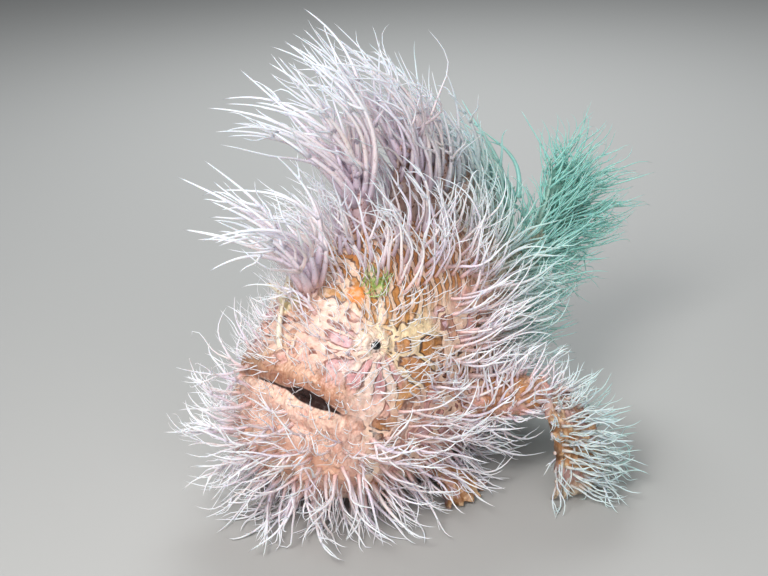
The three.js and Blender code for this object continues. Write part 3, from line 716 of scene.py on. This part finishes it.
SUBSURFACE_RADIUS = (0.003, 0.0012, 0.0008)
skin_finish = material("wet_skin", skin_colour, skin_rough, skin_relief, 0.35,
                       Subsurface_Weight=0.12, Subsurface_Radius=SUBSURFACE_RADIUS, Subsurface_Scale=0.4,
                       Coat_Weight=0.15, Coat_Roughness=0.25)
skin.data.materials.clear()
skin.data.materials.append(skin_finish)
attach(skin, "root")
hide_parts("head", "jaw", "torso", "tail", "pectoral_arm_left", "pectoral_arm_right",
            "pelvic_leg_left", "pelvic_leg_right", "dorsal_spine_2", "dorsal_spine_3")


# The eyes are small glassy balls, each with a black oval pupil in a cream iris that dark
# rays cross. They sit in the lids and look out sideways, forward and a little up.
EYE_PUPIL_MM = 1.45
EYE_IRIS_MM = 2.45
LENS_RISE = 0.06  # the clear lens stands out by this share of the ball's radius


def eye_colour(axis, centre):
    def colour(where):
        seen = vector("SUBTRACT", where, tuple(centre))
        depth = dot(seen, tuple(axis))
        flat = vector("SUBTRACT", seen, vector("SCALE", tuple(axis), depth))
        radius = length_of(vector("MULTIPLY", flat, (0.85, 0.85, 1.1)))
        forward, _, upright = pieces_of(flat)
        turn = upright.sum("ARCTAN2", forward)
        ray = ((turn * 9.0).sum("SINE") + noise(where, 1.5) * 2.0 - 1.0).step(0.15, 0.7)
        iris = blend(ray * radius.step(1.2, 1.8), (0.66, 0.55, 0.50), (0.26, 0.17, 0.14))
        iris = blend(radius.step(EYE_IRIS_MM - 0.35, EYE_IRIS_MM), iris, (0.48, 0.36, 0.34))
        return blend(radius.step(EYE_PUPIL_MM, EYE_PUPIL_MM - 0.15), iris, (0.004, 0.004, 0.005))
    return colour


for name, (side, stride) in SIDES.items():
    flip = np.array([1, side, 1])
    centre, axis = EYE_CENTRE * flip, EYE_AXIS * flip
    eye = mesh_object("eyeball_" + name, ball(48, 32))
    co = points_of(eye.data)
    turned = np.array([Vector((0, 0, 1)).rotation_difference(Vector(axis)) @ Vector(p) for p in co])
    lens = 1 + LENS_RISE * rise(0.72, 1.0, turned @ axis)[:, None]
    set_points(eye.data, (centre + turned * lens * EYE_RADIUS) * MM)
    smooth_shade(eye)
    eye.data.materials.append(material("eye_" + name, eye_colour(axis, centre), 0.12, None,
                                       Coat_Weight=1.0, Coat_Roughness=0.03))
    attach(eye, "root")
    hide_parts("eye_" + name)


# Fins are thin skin over soft rays. The rays stand as ridges on both faces, thick at the
# root and fine at the margin, where each runs on a little past the web.
FACES_PER_RAY = 8
FACES_ALONG = 28


def face_outward(piece):
    shell = bmesh.new()
    shell.from_mesh(piece.data)
    if shell.calc_volume(signed=True) < 0:
        piece.data.flip_normals()
    shell.free()


def fin_sheet(name, rays, root, tip, side, half=(1.3, 0.35), web=0.38, notch=0.16, bulge=0.0, wave=0.0):
    """A fin from root(s) to tip(s), where s runs from 0 to 1 over its rays. half is half its
    thickness at root and tip, web is what the skin between the rays has of that, and notch is
    how far it falls short of their tips."""
    piece = slab(name, FACES_PER_RAY * (rays - 1), FACES_ALONG)
    co = points_of(piece.data)
    s, v = (co[:, 0] + 1) / 2, (co[:, 1] + 1) / 2
    face = np.where(co[:, 2] > 0.5, 1.0, -1.0)
    phase = s * (rays - 1)
    on_ray = np.abs(np.cos(math.pi * phase)) ** 5
    reach = v * (1 - notch * (1 - on_ray) * (0.6 + 0.4 * np.sin(7 * s + 2)))
    a, b, n = root(s), tip(s), side(s)
    middle = a + (b - a) * reach[:, None]
    swell = bulge * 4 * reach * (1 - reach) + wave * np.sin(phase * math.pi + 3 * reach) * reach
    thick = mix(half[0], half[1], reach) * mix(web, 1.0, on_ray)
    set_points(piece.data, middle + n * (swell + face * thick)[:, None])
    face_outward(piece)
    return piece


def constant(*direction):
    arrow = unit(np.array(direction, float))
    return lambda s: np.tile(arrow, (len(s), 1))


def back_line(front, rear, angle, inside):
    return lambda s: body_points(mix(front, rear, s), np.full(len(s), angle), inside)


def dorsal_tip(s):
    lean = unit(np.stack([mix(-0.2, -0.85, s), mix(0.06, 0.16, s), np.ones(len(s))], 1))
    length = mix(27.0, 15.0, s ** 1.5) * (1 + 0.06 * np.sin(s * 9))
    return back_line(6.35, 2.75, math.pi / 2, 0)(s) + lean * length[:, None]


def anal_tip(s):
    lean = unit(np.stack([mix(-0.35, -0.9, s), mix(0.05, 0.2, s), np.full(len(s), -0.9)], 1))
    return back_line(3.9, 1.9, -math.pi / 2, 0)(s) + lean * mix(19.0, 14.0, s)[:, None]


def caudal_root(s):
    return np.stack([mix(-69.5, -67.5, s), np.full(len(s), 12.2), mix(66.0, 54.0, s)], 1)


def caudal_tip(s):
    pitch = 0.58 + mix(0.72, -0.72, s)
    ray = np.stack([-np.cos(pitch), 0.05 * np.sin(s * math.pi), np.sin(pitch)], 1)
    start = np.stack([np.full(len(s), -72.0), np.full(len(s), 13.0), mix(65.0, 56.0, s)], 1)
    return start + ray * (31 * (1 - 0.12 * (2 * s - 1) ** 2))[:, None]


# Each hand and foot stands on the tips of its rays, from the first to the last on the floor
HAND = dict(rays=9, first=(-13, 61, 0.6), last=(-36, 66, 0.6), bulge=6.0, half=(3.2, 1.7), web=0.7)
FOOT = dict(rays=6, first=(12, 37, 0.6), last=(-7, 37, 0.6), bulge=2.0, half=(2.4, 1.2), web=0.6)


def paired_fin(name, limb, radius, hand, side, stride):
    first, last = (np.array(p, float) for p in on_side([hand["first"], hand["last"]], side, stride))
    before, end = (np.array(p, float) for p in on_side(limb[1:], side, stride))
    along, spread = unit(end - before), unit(last - first)
    outward = unit(np.array([spread[1] * side, -spread[0] * side, 0]))

    def root(s):
        return end - along * 1.5 + spread * (mix(-0.62, 0.62, s) * radius)[:, None]

    def tip(s):
        return first + (last - first) * s[:, None] + outward * (3.5 * np.sin(s * math.pi))[:, None]

    piece = fin_sheet(name, hand["rays"], root, tip, constant(*(outward + [0, 0, 0.6])), half=hand["half"],
                      web=hand["web"], notch=0.2, bulge=hand["bulge"])
    sculpt(piece, lambda p: 0.55 * ripple(p, 6, 1) + 0.25 * ripple(p, 2.6, 2))
    co = points_of(piece.data)
    co[:, 2] = np.maximum(co[:, 2], 0.0)
    set_points(piece.data, co)
    return piece


def fin_colour(where):
    x, y, z = pieces_of(where)
    speck = cells(where, 0.7).step(0.2, 0.34)
    mottle = noise(where, 0.12, 4.0, 0.6)
    colour = ramp(mottle, (0.36, (0.20, 0.11, 0.08)), (0.5, (0.42, 0.28, 0.24)), (0.62, (0.58, 0.44, 0.40)))
    colour = blend(speck, (0.16, 0.08, 0.05), colour)
    tan = blend(noise(where, 0.3, 3.0).step(0.42, 0.6), (0.36, 0.17, 0.07), (0.66, 0.44, 0.26))
    tan = blend(noise(where, 0.1, 3.0).step(0.48, 0.56), tan, (0.50, 0.30, 0.27))
    colour = blend(z.step(40.0, 25.0) * abs(y).step(24.0, 30.0), colour, tan)
    colour = blend(z.step(9.0, 3.0) * abs(y).step(48.0, 54.0) * 0.8, colour, (0.74, 0.60, 0.42))
    # Painted light: towards the tail the fins are tinted sea green, for the green light that falls there.
    return blend(x.step(-36.0, -80.0) * 0.85, colour, blend(speck, PAINTED_GREEN_LIGHT, (0.26, 0.52, 0.45)))


fin_finish = material("fin_skin", fin_colour, 0.42, lambda w: noise(w, 1.1, 4.0), 0.15,
                      Subsurface_Weight=0.1, Subsurface_Radius=SUBSURFACE_RADIUS, Subsurface_Scale=0.4)
fins = {
    "dorsal_fin": fin_sheet("dorsal_web", 12, back_line(6.35, 2.75, math.pi / 2, 3), dorsal_tip,
                            constant(0, 1, 0), bulge=-1.5, wave=0.5),
    "anal_fin": fin_sheet("anal_web", 7, back_line(3.9, 1.9, -math.pi / 2, 3), anal_tip,
                          constant(0, 1, 0), wave=0.4),
    "caudal_fin": fin_sheet("tail_web", 9, caudal_root, caudal_tip,
                            constant(0.08, 1, 0), bulge=2.0, wave=0.5),
}
for name, (side, stride) in SIDES.items():
    fins["pectoral_fin_" + name] = paired_fin("hand_" + name, ARM, ARM_RADII[1], HAND, side, stride)
    fins["pelvic_fin_" + name] = paired_fin("foot_" + name, LEG, LEG_RADII[1], FOOT, side, 0)
for node, piece in fins.items():
    set_points(piece.data, points_of(piece.data) * MM)
    smooth_shade(piece)
    piece.data.materials.append(fin_finish)
    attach(piece, "root")
    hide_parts(node)
    "tail_fin" if node == "caudal_fin" else "fin"


# The fishing spine is a fine bare rod folded back over the brow, with a pale lure of two
# worm-like lobes at its end.
ROD = [(45, -1, 55), (44, -5, 67), (36, -7, 73.5)]
ROD_RADII = (1.2, 0.55)
UPPER_LOBE = [(37, -6.8, 73), (31, -9, 79), (27, -13, 80)]
LOWER_LOBE = [(37, -6.8, 73), (36, -11, 77), (36, -16, 75)]
LOBE_RADII = (1.1, 0.7)


def lure_colour(where):
    return blend(cells(where, 0.8).step(0.2, 0.3), (0.5, 0.32, 0.2), (0.82, 0.74, 0.6))


lure = join("fishing_spine", [
    limb_form("rod", ROD, ROD_RADII, 12, 40),
    limb_form("upper_lobe", UPPER_LOBE, LOBE_RADII, 12, 30),
    limb_form("lower_lobe", LOWER_LOBE, LOBE_RADII, 12, 30),
])
set_points(lure.data, points_of(lure.data) * MM)
smooth_shade(lure)
lure.data.materials.append(material("lure_skin", lure_colour, 0.4, lambda w: noise(w, 1.5, 3.0), 0.1))
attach(lure, "root")
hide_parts("dorsal_spine_1")


# The coat is soft, branched skin filaments that look like weed, grown all over the body.
# The current sweeps the upper ones forward and over to the fish's right. Each is a fine
# tapered tube of flesh.
COAT_SEED = 20
BAKE_PATCH = 0.003  # each filament's own patch of the bake map, set at its root's place
SWAY = np.array([0.667, -0.745, 0.0])
UP = np.array([0, 0, 1.0])
BACKWARD = np.array([-1.0, 0, 0])
draw = np.random.default_rng(COAT_SEED)


class Surface:
    """The triangles of a finished piece, in millimetres, for setting roots on it."""

    def __init__(self, piece):
        mesh = piece.data
        mesh.calc_loop_triangles()
        index = np.empty(len(mesh.loop_triangles) * 3, dtype=np.int32)
        mesh.loop_triangles.foreach_get("vertices", index)
        co = points_of(mesh) / MM
        self.a, self.b, self.c = (co[index.reshape(-1, 3)[:, i]] for i in range(3))
        cross = np.cross(self.b - self.a, self.c - self.a)
        self.area = np.linalg.norm(cross, axis=1) / 2
        self.normal = unit(cross)

    def roots(self, count, spacing, density):
        """Roots at least spacing apart, where density(points, normals) allows them."""
        weight = self.area * density((self.a + self.b + self.c) / 3, self.normal)
        picks = draw.choice(len(weight), size=count * 6, p=weight / weight.sum())
        u, v = draw.random((2, len(picks)))
        fold = u + v > 1
        u, v = np.where(fold, 1 - u, u)[:, None], np.where(fold, 1 - v, v)[:, None]
        spots = self.a[picks] + (self.b - self.a)[picks] * u + (self.c - self.a)[picks] * v
        kept = np.empty((0, 3))
        chosen = []
        for i, spot in enumerate(spots):
            if len(kept) == 0 or ((kept - spot) ** 2).sum(1).min() > spacing ** 2:
                kept = np.vstack([kept, spot])
                chosen.append(i)
            if len(chosen) == count:
                break
        return kept, self.normal[picks[chosen]]


skin_tree = BVHTree.FromPolygons([Vector(p) for p in points_of(skin.data) / MM],
                                 [tuple(face.vertices) for face in skin.data.polygons])


def clear_of_skin(points, room):
    """Moves the points that come too near the skin out to their own room over it."""
    for i, point in enumerate(points):
        found, normal, _, _ = skin_tree.find_nearest(Vector(point), 6.0)
        if found is None:
            continue
        height = (Vector(point) - found).dot(normal)
        if height < room[i]:
            points[i] = found + normal * room[i]
    return points


def strands(roots, start, end, length, radius, uv, steps=12, sunk=0.8, wander=0.3, curl=0.8,
            origin=0.0, sides=5):
    """Filament paths: they set out along start, come round to end, and wave and curl on the way."""
    n = len(roots)
    start, end = unit(start), unit(end)
    flow = np.stack([ripple(roots, 30, kind) for kind in range(3)], 1)
    lean = flow * wander + draw.normal(size=(n, 3)) * wander * 0.4
    twist = unit(draw.normal(size=(n, 3)) + end * 0.3) * curl
    sway = unit(np.cross(start, draw.normal(size=(n, 3)))) * wander
    phase = draw.uniform(0, 2 * math.pi, n)
    place = roots - start * sunk
    path = [place]
    for i in range(steps):
        t = i / (steps - 1)
        wave = sway * np.sin(phase + t * 6.5)[:, None] * min(1, 3 * t)
        heading = unit(start * (1 - t) ** 1.3 + end * t ** 0.9 + lean * t + wave + twist * t ** 3)
        place = place + heading * (length / steps)[:, None]
        place[:, 2] = np.maximum(place[:, 2], radius + 0.25)
        if i > 0 and origin == 0.0:
            place = clear_of_skin(place, radius + 0.15)
        path.append(place)
    return dict(path=np.stack(path, 1), radius=radius, uv=uv, origin=np.full(n, origin),
                tint=draw.random(n), length=length, sides=sides)


def branches(parent, share=2.0, low=0.12):
    """Side filaments that leave their parent at a slant, like twigs."""
    path, n = parent["path"], len(parent["path"])
    many = draw.poisson(share, n) * (parent["length"] > 9)
    who = np.repeat(np.arange(n), np.minimum(many, 4))
    at = draw.uniform(low, 0.75, len(who))
    step = (at * (path.shape[1] - 1)).astype(int)
    ahead = unit(path[who, step + 1] - path[who, step])
    aside = unit(np.cross(ahead, draw.normal(size=(len(who), 3))))
    start = ahead + aside * draw.uniform(0.5, 0.95, len(who))[:, None]
    end = unit(path[who, -1] - path[who, step]) + aside * 0.3
    length = parent["length"][who] * (1 - at) * draw.uniform(0.55, 1.0, len(who))
    radius = parent["radius"][who] * (1 - at) ** 0.6 * 0.74
    twigs = strands(path[who, step], start, end, length, radius, parent["uv"][who], 8, 0.0, 0.3, 0.8, 0.4)
    twigs["origin"] = at
    return twigs


def tubes(name, groups):
    """One mesh of tapered tubes for all the strands, with their bake patches and their
    places along the filament kept as attributes."""
    verts, faces, uvs, along, tint = [], [], [], [], []
    base = 0
    for group in groups:
        path, sides = group["path"], group["sides"]
        n, rings = path.shape[0], path.shape[1] - 1
        ahead = unit(np.diff(path, axis=1))
        ahead = np.concatenate([ahead[:, :1], unit(ahead[:, :-1] + ahead[:, 1:])], 1)
        side = unit(np.cross(ahead[:, 0], draw.normal(size=(n, 3))))
        t = np.arange(rings) / rings
        turn = np.arange(sides) * 2 * math.pi / sides
        for i in range(rings):
            side = unit(side - ahead[:, i] * (side * ahead[:, i]).sum(1, keepdims=True))
            lift = np.cross(ahead[:, i], side)
            thick = group["radius"] * ((1 - t[i]) ** 0.75 * (1 + 0.5 * math.exp(-9 * t[i])) * 0.92 + 0.08)
            ring = np.cos(turn)[None, :, None] * side[:, None] + np.sin(turn)[None, :, None] * lift[:, None]
            verts.append((path[:, i][:, None] + ring * thick[:, None, None]).reshape(-1, 3))
        verts.append(path[:, -1])
        ring_at = base + np.arange(rings)[:, None, None] * n * sides + np.arange(n)[None, :, None] * sides
        corner = ring_at + np.arange(sides)[None, None, :]
        following = np.roll(corner, -1, axis=2)
        tip = np.repeat((base + rings * n * sides + np.arange(n))[:, None], sides, 1)
        faces.append(np.stack([corner[:-1], following[:-1], following[1:], corner[1:]], -1).reshape(-1, 4))
        faces.append(np.stack([corner[-1], following[-1], tip], -1).reshape(-1, 3))
        faces.append(corner[0][:, ::-1])
        around = np.tile(np.arange(sides) / sides, (rings, n, 1))
        down = np.broadcast_to(t[:, None, None], (rings, n, sides))
        patch = np.stack([around, down], -1) * BAKE_PATCH
        uvs += [(patch + group["uv"][None, :, None, :]).reshape(-1, 2), group["uv"] + BAKE_PATCH]
        reach = group["origin"] + (1 - group["origin"]) * t[:, None]
        along += [np.repeat(reach.ravel(), sides), np.ones(n)]
        tint += [np.tile(np.repeat(group["tint"], sides), rings), group["tint"]]
        base += rings * n * sides + n
    loops = np.concatenate([face.ravel() for face in faces])
    sizes = np.concatenate([np.full(len(face), face.shape[1]) for face in faces])
    points = np.concatenate(verts) * MM
    points[:, 2] = np.maximum(points[:, 2], 0)
    mesh = bpy.data.meshes.new(name)
    mesh.vertices.add(len(points))
    mesh.vertices.foreach_set("co", points.ravel())
    mesh.loops.add(len(loops))
    mesh.loops.foreach_set("vertex_index", loops.astype(np.int32))
    mesh.polygons.add(len(sizes))
    mesh.polygons.foreach_set("loop_start", np.concatenate([[0], np.cumsum(sizes)[:-1]]).astype(np.int32))
    mesh.update(calc_edges=True)
    mesh.polygons.foreach_set("use_smooth", [True] * len(sizes))
    layer = mesh.uv_layers.new(name="OFBake")
    layer.data.foreach_set("uv", np.concatenate(uvs)[loops].ravel())
    for label, values in (("along", along), ("tint", tint)):
        mesh.attributes.new(label, "FLOAT", "POINT").data.foreach_set("value", np.concatenate(values))
    mesh.validate()
    piece = bpy.data.objects.new(name, mesh)
    bpy.context.scene.collection.objects.link(piece)
    return piece


def coat_colour(where):
    x, y, z = pieces_of(where)
    along = Wire.node("ShaderNodeAttribute", {"attribute_name": "along"}, None, 2)
    tint = Wire.node("ShaderNodeAttribute", {"attribute_name": "tint"}, None, 2)
    body = blend(tint, (0.74, 0.66, 0.78), (0.88, 0.77, 0.76))
    base = blend(z.step(74.0, 86.0), (0.74, 0.48, 0.44), (0.60, 0.50, 0.60))
    colour = blend(along.step(0.0, 0.3), base, body)
    tip = blend(z.step(75.0, 115.0), (0.94, 0.94, 0.98), (0.80, 0.83, 0.89))
    colour = blend(along.step(0.3, 0.8), colour, tip)
    fleck = noise(where, 0.9, 3.0, 0.7).step(0.56, 0.66) * along.step(0.9, 0.2)
    colour = blend(fleck * 0.45, colour, (0.28, 0.14, 0.12))
    # Painted light: filaments towards the tail, and a little those far out at the sides, are tinted sea green
    # for the green light there.
    green_light_share = x.step(-18.0, -75.0) * 0.85 + abs(y).step(50.0, 66.0) * 0.3
    return blend(green_light_share.sum("MINIMUM", 0.85), colour, (0.22, 0.62, 0.54))


coat_finish = material("filament_skin", coat_colour, 0.36, None, 0.1,
                       Subsurface_Weight=0.2, Subsurface_Radius=SUBSURFACE_RADIUS, Subsurface_Scale=0.5)


MAP_EDGE = 0.01  # left free, so that every filament's patch stays inside the bake map
MAP_SPAN = 0.97


def map_place(across, along):
    return np.stack([MAP_EDGE + MAP_SPAN * across, MAP_EDGE + MAP_SPAN * along], 1)


def coat(name, *groups, slot="skin"):
    piece = tubes("coat_" + name, groups)
    piece.data.materials.append(coat_finish)
    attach(piece, "root")
    return piece


def body_uv(points):
    """The body's skin unrolled: round the body one way, tail to snout the other."""
    x, y, z = points.T
    turn = np.arctan2(z - 44, y) / (2 * math.pi) + 0.5
    return map_place(turn, np.clip((x + 78) / 136, 0, 1))


def body_lie(roots, normals):
    """How the body's filaments lie: swept over on top, trailing back on the flank and hanging
    outward near the floor. Returns where each sets out and ends up, and its length."""
    x, z = roots[:, :1], roots[:, 2:]
    top = rise(0.25, 0.8, normals[:, 2:]) * rise(48, 66, z)
    low = 1 - rise(12, 30, z)
    face = rise(30, 46, x)
    flat = unit(normals * [1, 1, 0])
    start = (normals + BACKWARD * 0.45 * (1 - low) * (1 - face)
             + UP * (0.45 * top - 0.3 * low) + SWAY * 0.2 * top)
    end = (normals * 0.45 + BACKWARD * 0.6 * (1 - top) * (1 - low) * (1 - face)
           + UP * (0.5 * (1 - low) - 0.12 * low) + flat * 0.8 * low + SWAY * 0.8 * top)
    reach = mix(mix(28.0, 29.0, low[:, 0]), 32.0, top[:, 0])
    reach = reach * mix(0.4, 1.0, rise(10, 26, from_eye(roots))) * draw.uniform(0.6, 1.15, len(roots))
    return start, end, reach


def on_trunk(points):
    x, y, z = points.T
    limb = (np.abs(y) > 31) & (z < 60)
    stalk = (z > 87) | ((z > 75) & (x > 28))
    return ~limb & ~stalk


CHEEK_CENTRE = np.array([23, 0, 52])  # the long filaments leave both sides of the face free here
LONG_FILAMENTS = 880
LONG_SPACING = 2.8
FINE_THREADS = 1500
FINE_SPACING = 1.5
THREAD_LENGTHS = (4, 14)
THREAD_RADII = (0.15, 0.26)
HEAD_FROM = 15  # the coat is four pieces on the body: head and jaw ahead of here,
TAIL_FROM = -47  # the tail behind here and the torso between


def long_density(points, normals):
    seen = points[:, 1] > -10
    near_lips = at_lips(points, 5) & seen
    bare = (from_eye(points) < 7) | near_lips | (points[:, 2] < 1.5) | ~on_trunk(points)
    cheek = np.linalg.norm(points * [1, 0, 1] - CHEEK_CENTRE, axis=1)
    round_lips = at_lips(points, 14) & (above_mouth(points) > -9) & seen
    return np.where(bare, 0.0, np.where(round_lips, 0.05, mix(0.09, 1.0, rise(24, 33, cheek))))


def fine_density(points, normals):
    at_slit = (np.abs(above_mouth(points)) < 1.6) & (points[:, 0] > 36)
    bare = (from_eye(points) < 4.6) | at_slit | (points[:, 2] < 1)
    face = rise(25, 45, points[:, 0]) + 1 - rise(20, 30, from_eye(points))
    return np.where(bare | ~on_trunk(points), 0.0, 1.0 + 2.0 * face)


def regions_of(points):
    ahead, behind = points[:, 0] > HEAD_FROM, points[:, 0] <= TAIL_FROM
    above = above_mouth(points) > 0
    return {"head": ahead & above, "jaw": ahead & ~above, "torso": ~ahead & ~behind, "tail": behind}


skin_surface = Surface(skin)
roots, normals = skin_surface.roots(LONG_FILAMENTS, LONG_SPACING, long_density)
start, end, length = body_lie(roots, normals)
radius = draw.uniform(0.45, 0.78, len(roots)) * mix(0.7, 1.0, rise(14, 28, length))
fine_roots, fine_normals = skin_surface.roots(FINE_THREADS, FINE_SPACING, fine_density)
fine_start, fine_end, _ = body_lie(fine_roots, fine_normals)
fine_regions = regions_of(fine_roots)
for name, here in regions_of(roots).items():
    main = strands(roots[here], start[here], end[here], length[here], radius[here], body_uv(roots[here]))
    near = fine_regions[name]
    fine_length = draw.uniform(*THREAD_LENGTHS, near.sum())
    fine_radius = draw.uniform(*THREAD_RADII, near.sum())
    fine = strands(fine_roots[near], fine_start[near], fine_end[near] - UP * 0.2, fine_length, fine_radius,
                   body_uv(fine_roots[near]), 8, 0.3, 0.28, 0.7, sides=3)
    fine["origin"] += 0.7
    coat(name, main, branches(main), fine)


# The crowns: stout stems from the tips of the two free spines, and one or two from each
# ray of the back fin, all swept over by the current.
def crown(name, surface, count, spacing, density, length, radius, uv, slot, share=1.0,
          lift=(0.1, 0.85)):
    """share is how many side branches a stem has on average, and lift how steeply its end rises."""
    roots, normals = surface.roots(count, spacing, density)
    start = normals * 0.45 + UP * 0.9 + SWAY * 0.1
    end = normals * 0.3 + UP * draw.uniform(*lift, len(roots))[:, None] + SWAY * 0.95
    reach = length * draw.uniform(0.65, 1.05, len(roots))
    reach = reach * mix(1.0, 0.55, rise(-12, -60, roots[:, 0]))
    thick = draw.uniform(*radius, len(roots))
    main = strands(roots, start, end, reach, thick, uv(roots), 18, 1.0, 0.07, 0.5)
    coat(name, main, branches(main, share), slot=slot)


def stalk_uv(points):
    x, y, z = points.T
    turn = np.arctan2(y, x - np.where(x > 20, 33, 8)) / (2 * math.pi) + 0.5
    return map_place(turn, np.clip((z - 70) / 45, 0, 1))


def on_spine_two(points, normals):
    return ((points[:, 0] > 28) & (points[:, 2] > 77)).astype(float)


def on_spine_three(points, normals):
    x, _, z = points.T
    return ((x < 15) & (x > 0) & (z > 97)) * rise(94, 108, z)


def back_fin_margin(points, normals):
    x, _, z = points.T
    return rise(88, 106, z + 0.45 * np.maximum(-x - 15, 0)) ** 2


crown("spine_two", skin_surface, count=15, spacing=1.6, density=on_spine_two, length=54,
      radius=(0.9, 1.3), uv=stalk_uv, slot="spine", share=2.0, lift=(-0.1, 0.9))
crown("spine_three", skin_surface, count=30, spacing=1.7, density=on_spine_three, length=60,
      radius=(0.8, 1.2), uv=stalk_uv, slot="spine", share=1.5)


def sheet_uv(low, high):
    """A fin seen from its side, between two corners given as x and z."""
    span = np.subtract(high, low)
    return lambda points: map_place(*np.clip((points[:, [0, 2]] - low) / span, 0, 1).T)


crown("back_fin", Surface(fins["dorsal_fin"]), count=90, spacing=2.0, density=back_fin_margin, length=58,
      radius=(0.6, 1.0), uv=sheet_uv((-70, 65), (0, 115)), slot="fin", share=1.3, lift=(0.3, 1.3))


# The fringes of the tail, the vent fin, the arms, the hands and the feet: shorter filaments
# that carry on the rays' own lines, away from a middle point within the fin or limb.
def fringe(name, surface, count, spacing, density, centre, length, radius, uv, lift=0.15, slot="fin"):
    roots, normals = surface.roots(count, spacing, density)
    away = unit(roots - np.array(centre, float))
    away = away - normals * np.minimum((away * normals).sum(1, keepdims=True), 0)
    start, end = away + normals * 0.7, away + normals * 0.35 + UP * lift
    reach = length * draw.uniform(0.55, 1.15, len(roots))
    thick = draw.uniform(*radius, len(roots))
    main = strands(roots, start, end, reach, thick, uv(roots), 10, 0.5, 0.35, 0.9)
    coat(name, main, branches(main, 1.2), slot=slot)


def everywhere(points, normals):
    return np.ones(len(points))


def tail_fin_margin(points, normals):
    return 1 - rise(-95, -72, points[:, 0]) + 0.15


def off_floor(points, normals):
    return rise(3, 9, points[:, 2])


fringe("tail_fin", Surface(fins["caudal_fin"]), count=300, spacing=1.5, density=tail_fin_margin,
       centre=(-66, 12.5, 58), length=26, radius=(0.28, 0.46), uv=sheet_uv((-110, 30), (-65, 95)),
       slot="tail_fin")
fringe("vent_fin", Surface(fins["anal_fin"]), count=90, spacing=1.9, density=everywhere,
       centre=(-40, 6, 48), length=18, radius=(0.36, 0.6), uv=sheet_uv((-90, 0), (-40, 50)), lift=0.25)
for name, (side, stride) in SIDES.items():
    def on_arm(points, normals):
        _, y, z = points.T
        return ((y * side > 31) & (z < 60) & (z > 4)).astype(float)

    elbow = (-4 + stride, 40 * side, 22)
    fringe("arm_" + name, skin_surface, count=120, spacing=1.9, density=on_arm,
           centre=elbow, length=15, radius=(0.35, 0.6), uv=body_uv, lift=0.3, slot="limb")
    fringe("hand_" + name, Surface(fins["pectoral_fin_" + name]), count=190, spacing=1.6, density=off_floor,
           centre=elbow, length=16, radius=(0.33, 0.55), uv=sheet_uv((-45, 0), (0, 45)), lift=0.2)
    fringe("foot_" + name, Surface(fins["pelvic_fin_" + name]), count=20, spacing=2.2, density=off_floor,
           centre=(2, 22 * side, 14), length=9, radius=(0.28, 0.42), uv=sheet_uv((-15, 0), (20, 20)), lift=0.1)


# A small weed-green tuft of fine threads grows on the brow, between the second spine and
# the left eye.
TUFT_MIDDLE = np.array([18, 14, 75])


def at_tuft(points, normals):
    return (np.linalg.norm(points - TUFT_MIDDLE, axis=1) < 5).astype(float)


def weed_colour(where):
    return blend(noise(where, 0.6).step(0.4, 0.6), (0.24, 0.42, 0.10), (0.56, 0.66, 0.26))


tuft_roots, tuft_normals = skin_surface.roots(34, 0.9, at_tuft)
tuft_length = draw.uniform(4, 9, len(tuft_roots))
tuft_radius = draw.uniform(0.16, 0.26, len(tuft_roots))
tuft = tubes("coat_green_tuft", [strands(
    tuft_roots, tuft_normals, tuft_normals + UP * 0.4 + SWAY * 0.3, tuft_length, tuft_radius,
    body_uv(tuft_roots), 8, 0.4, 0.6, 1.0)])
tuft.data.materials.append(material("weed_green", weed_colour, 0.5))
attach(tuft, "root")


# The floor and the lights: a plain pale studio floor, with a large soft lamp before the
# fish, one at its side and one behind it, under a dim even sky.
def stage_floor():
    bm = bmesh.new()
    bmesh.ops.create_grid(bm, x_segments=1, y_segments=1, size=3)
    floor = mesh_object("studio_floor", bm)
    floor.data.materials.append(material("floor_paint", (0.42, 0.42, 0.41), 0.8))


def lamp(name, spot_mm, size_mm, power, colour=(1, 1, 1)):
    light = bpy.data.lights.new(name, "AREA")
    light.energy, light.size, light.color = power, size_mm * MM, colour
    holder = bpy.data.objects.new(name, light)
    spot, aim = Vector(spot_mm) * MM, CAMERA_AIM_MM * MM
    holder.location = spot
    holder.rotation_mode = "QUATERNION"
    holder.rotation_quaternion = (aim - spot).to_track_quat("-Z", "Y")
    bpy.context.scene.collection.objects.link(holder)


stage_floor()
lamp("key_lamp", (400, 120, 460), 220, 3.1, (1.0, 0.98, 0.96))
lamp("fill_lamp", (300, 480, 300), 360, 1.2)
lamp("rim_lamp", (-420, -320, 520), 320, 3.4, (0.95, 0.98, 1.0))
world = bpy.data.worlds.new("studio")
world.use_nodes = True
world.node_tree.nodes["Background"].inputs["Color"].default_value = (0.86, 0.90, 0.94, 1)
world.node_tree.nodes["Background"].inputs["Strength"].default_value = 0.2
bpy.context.scene.world = world
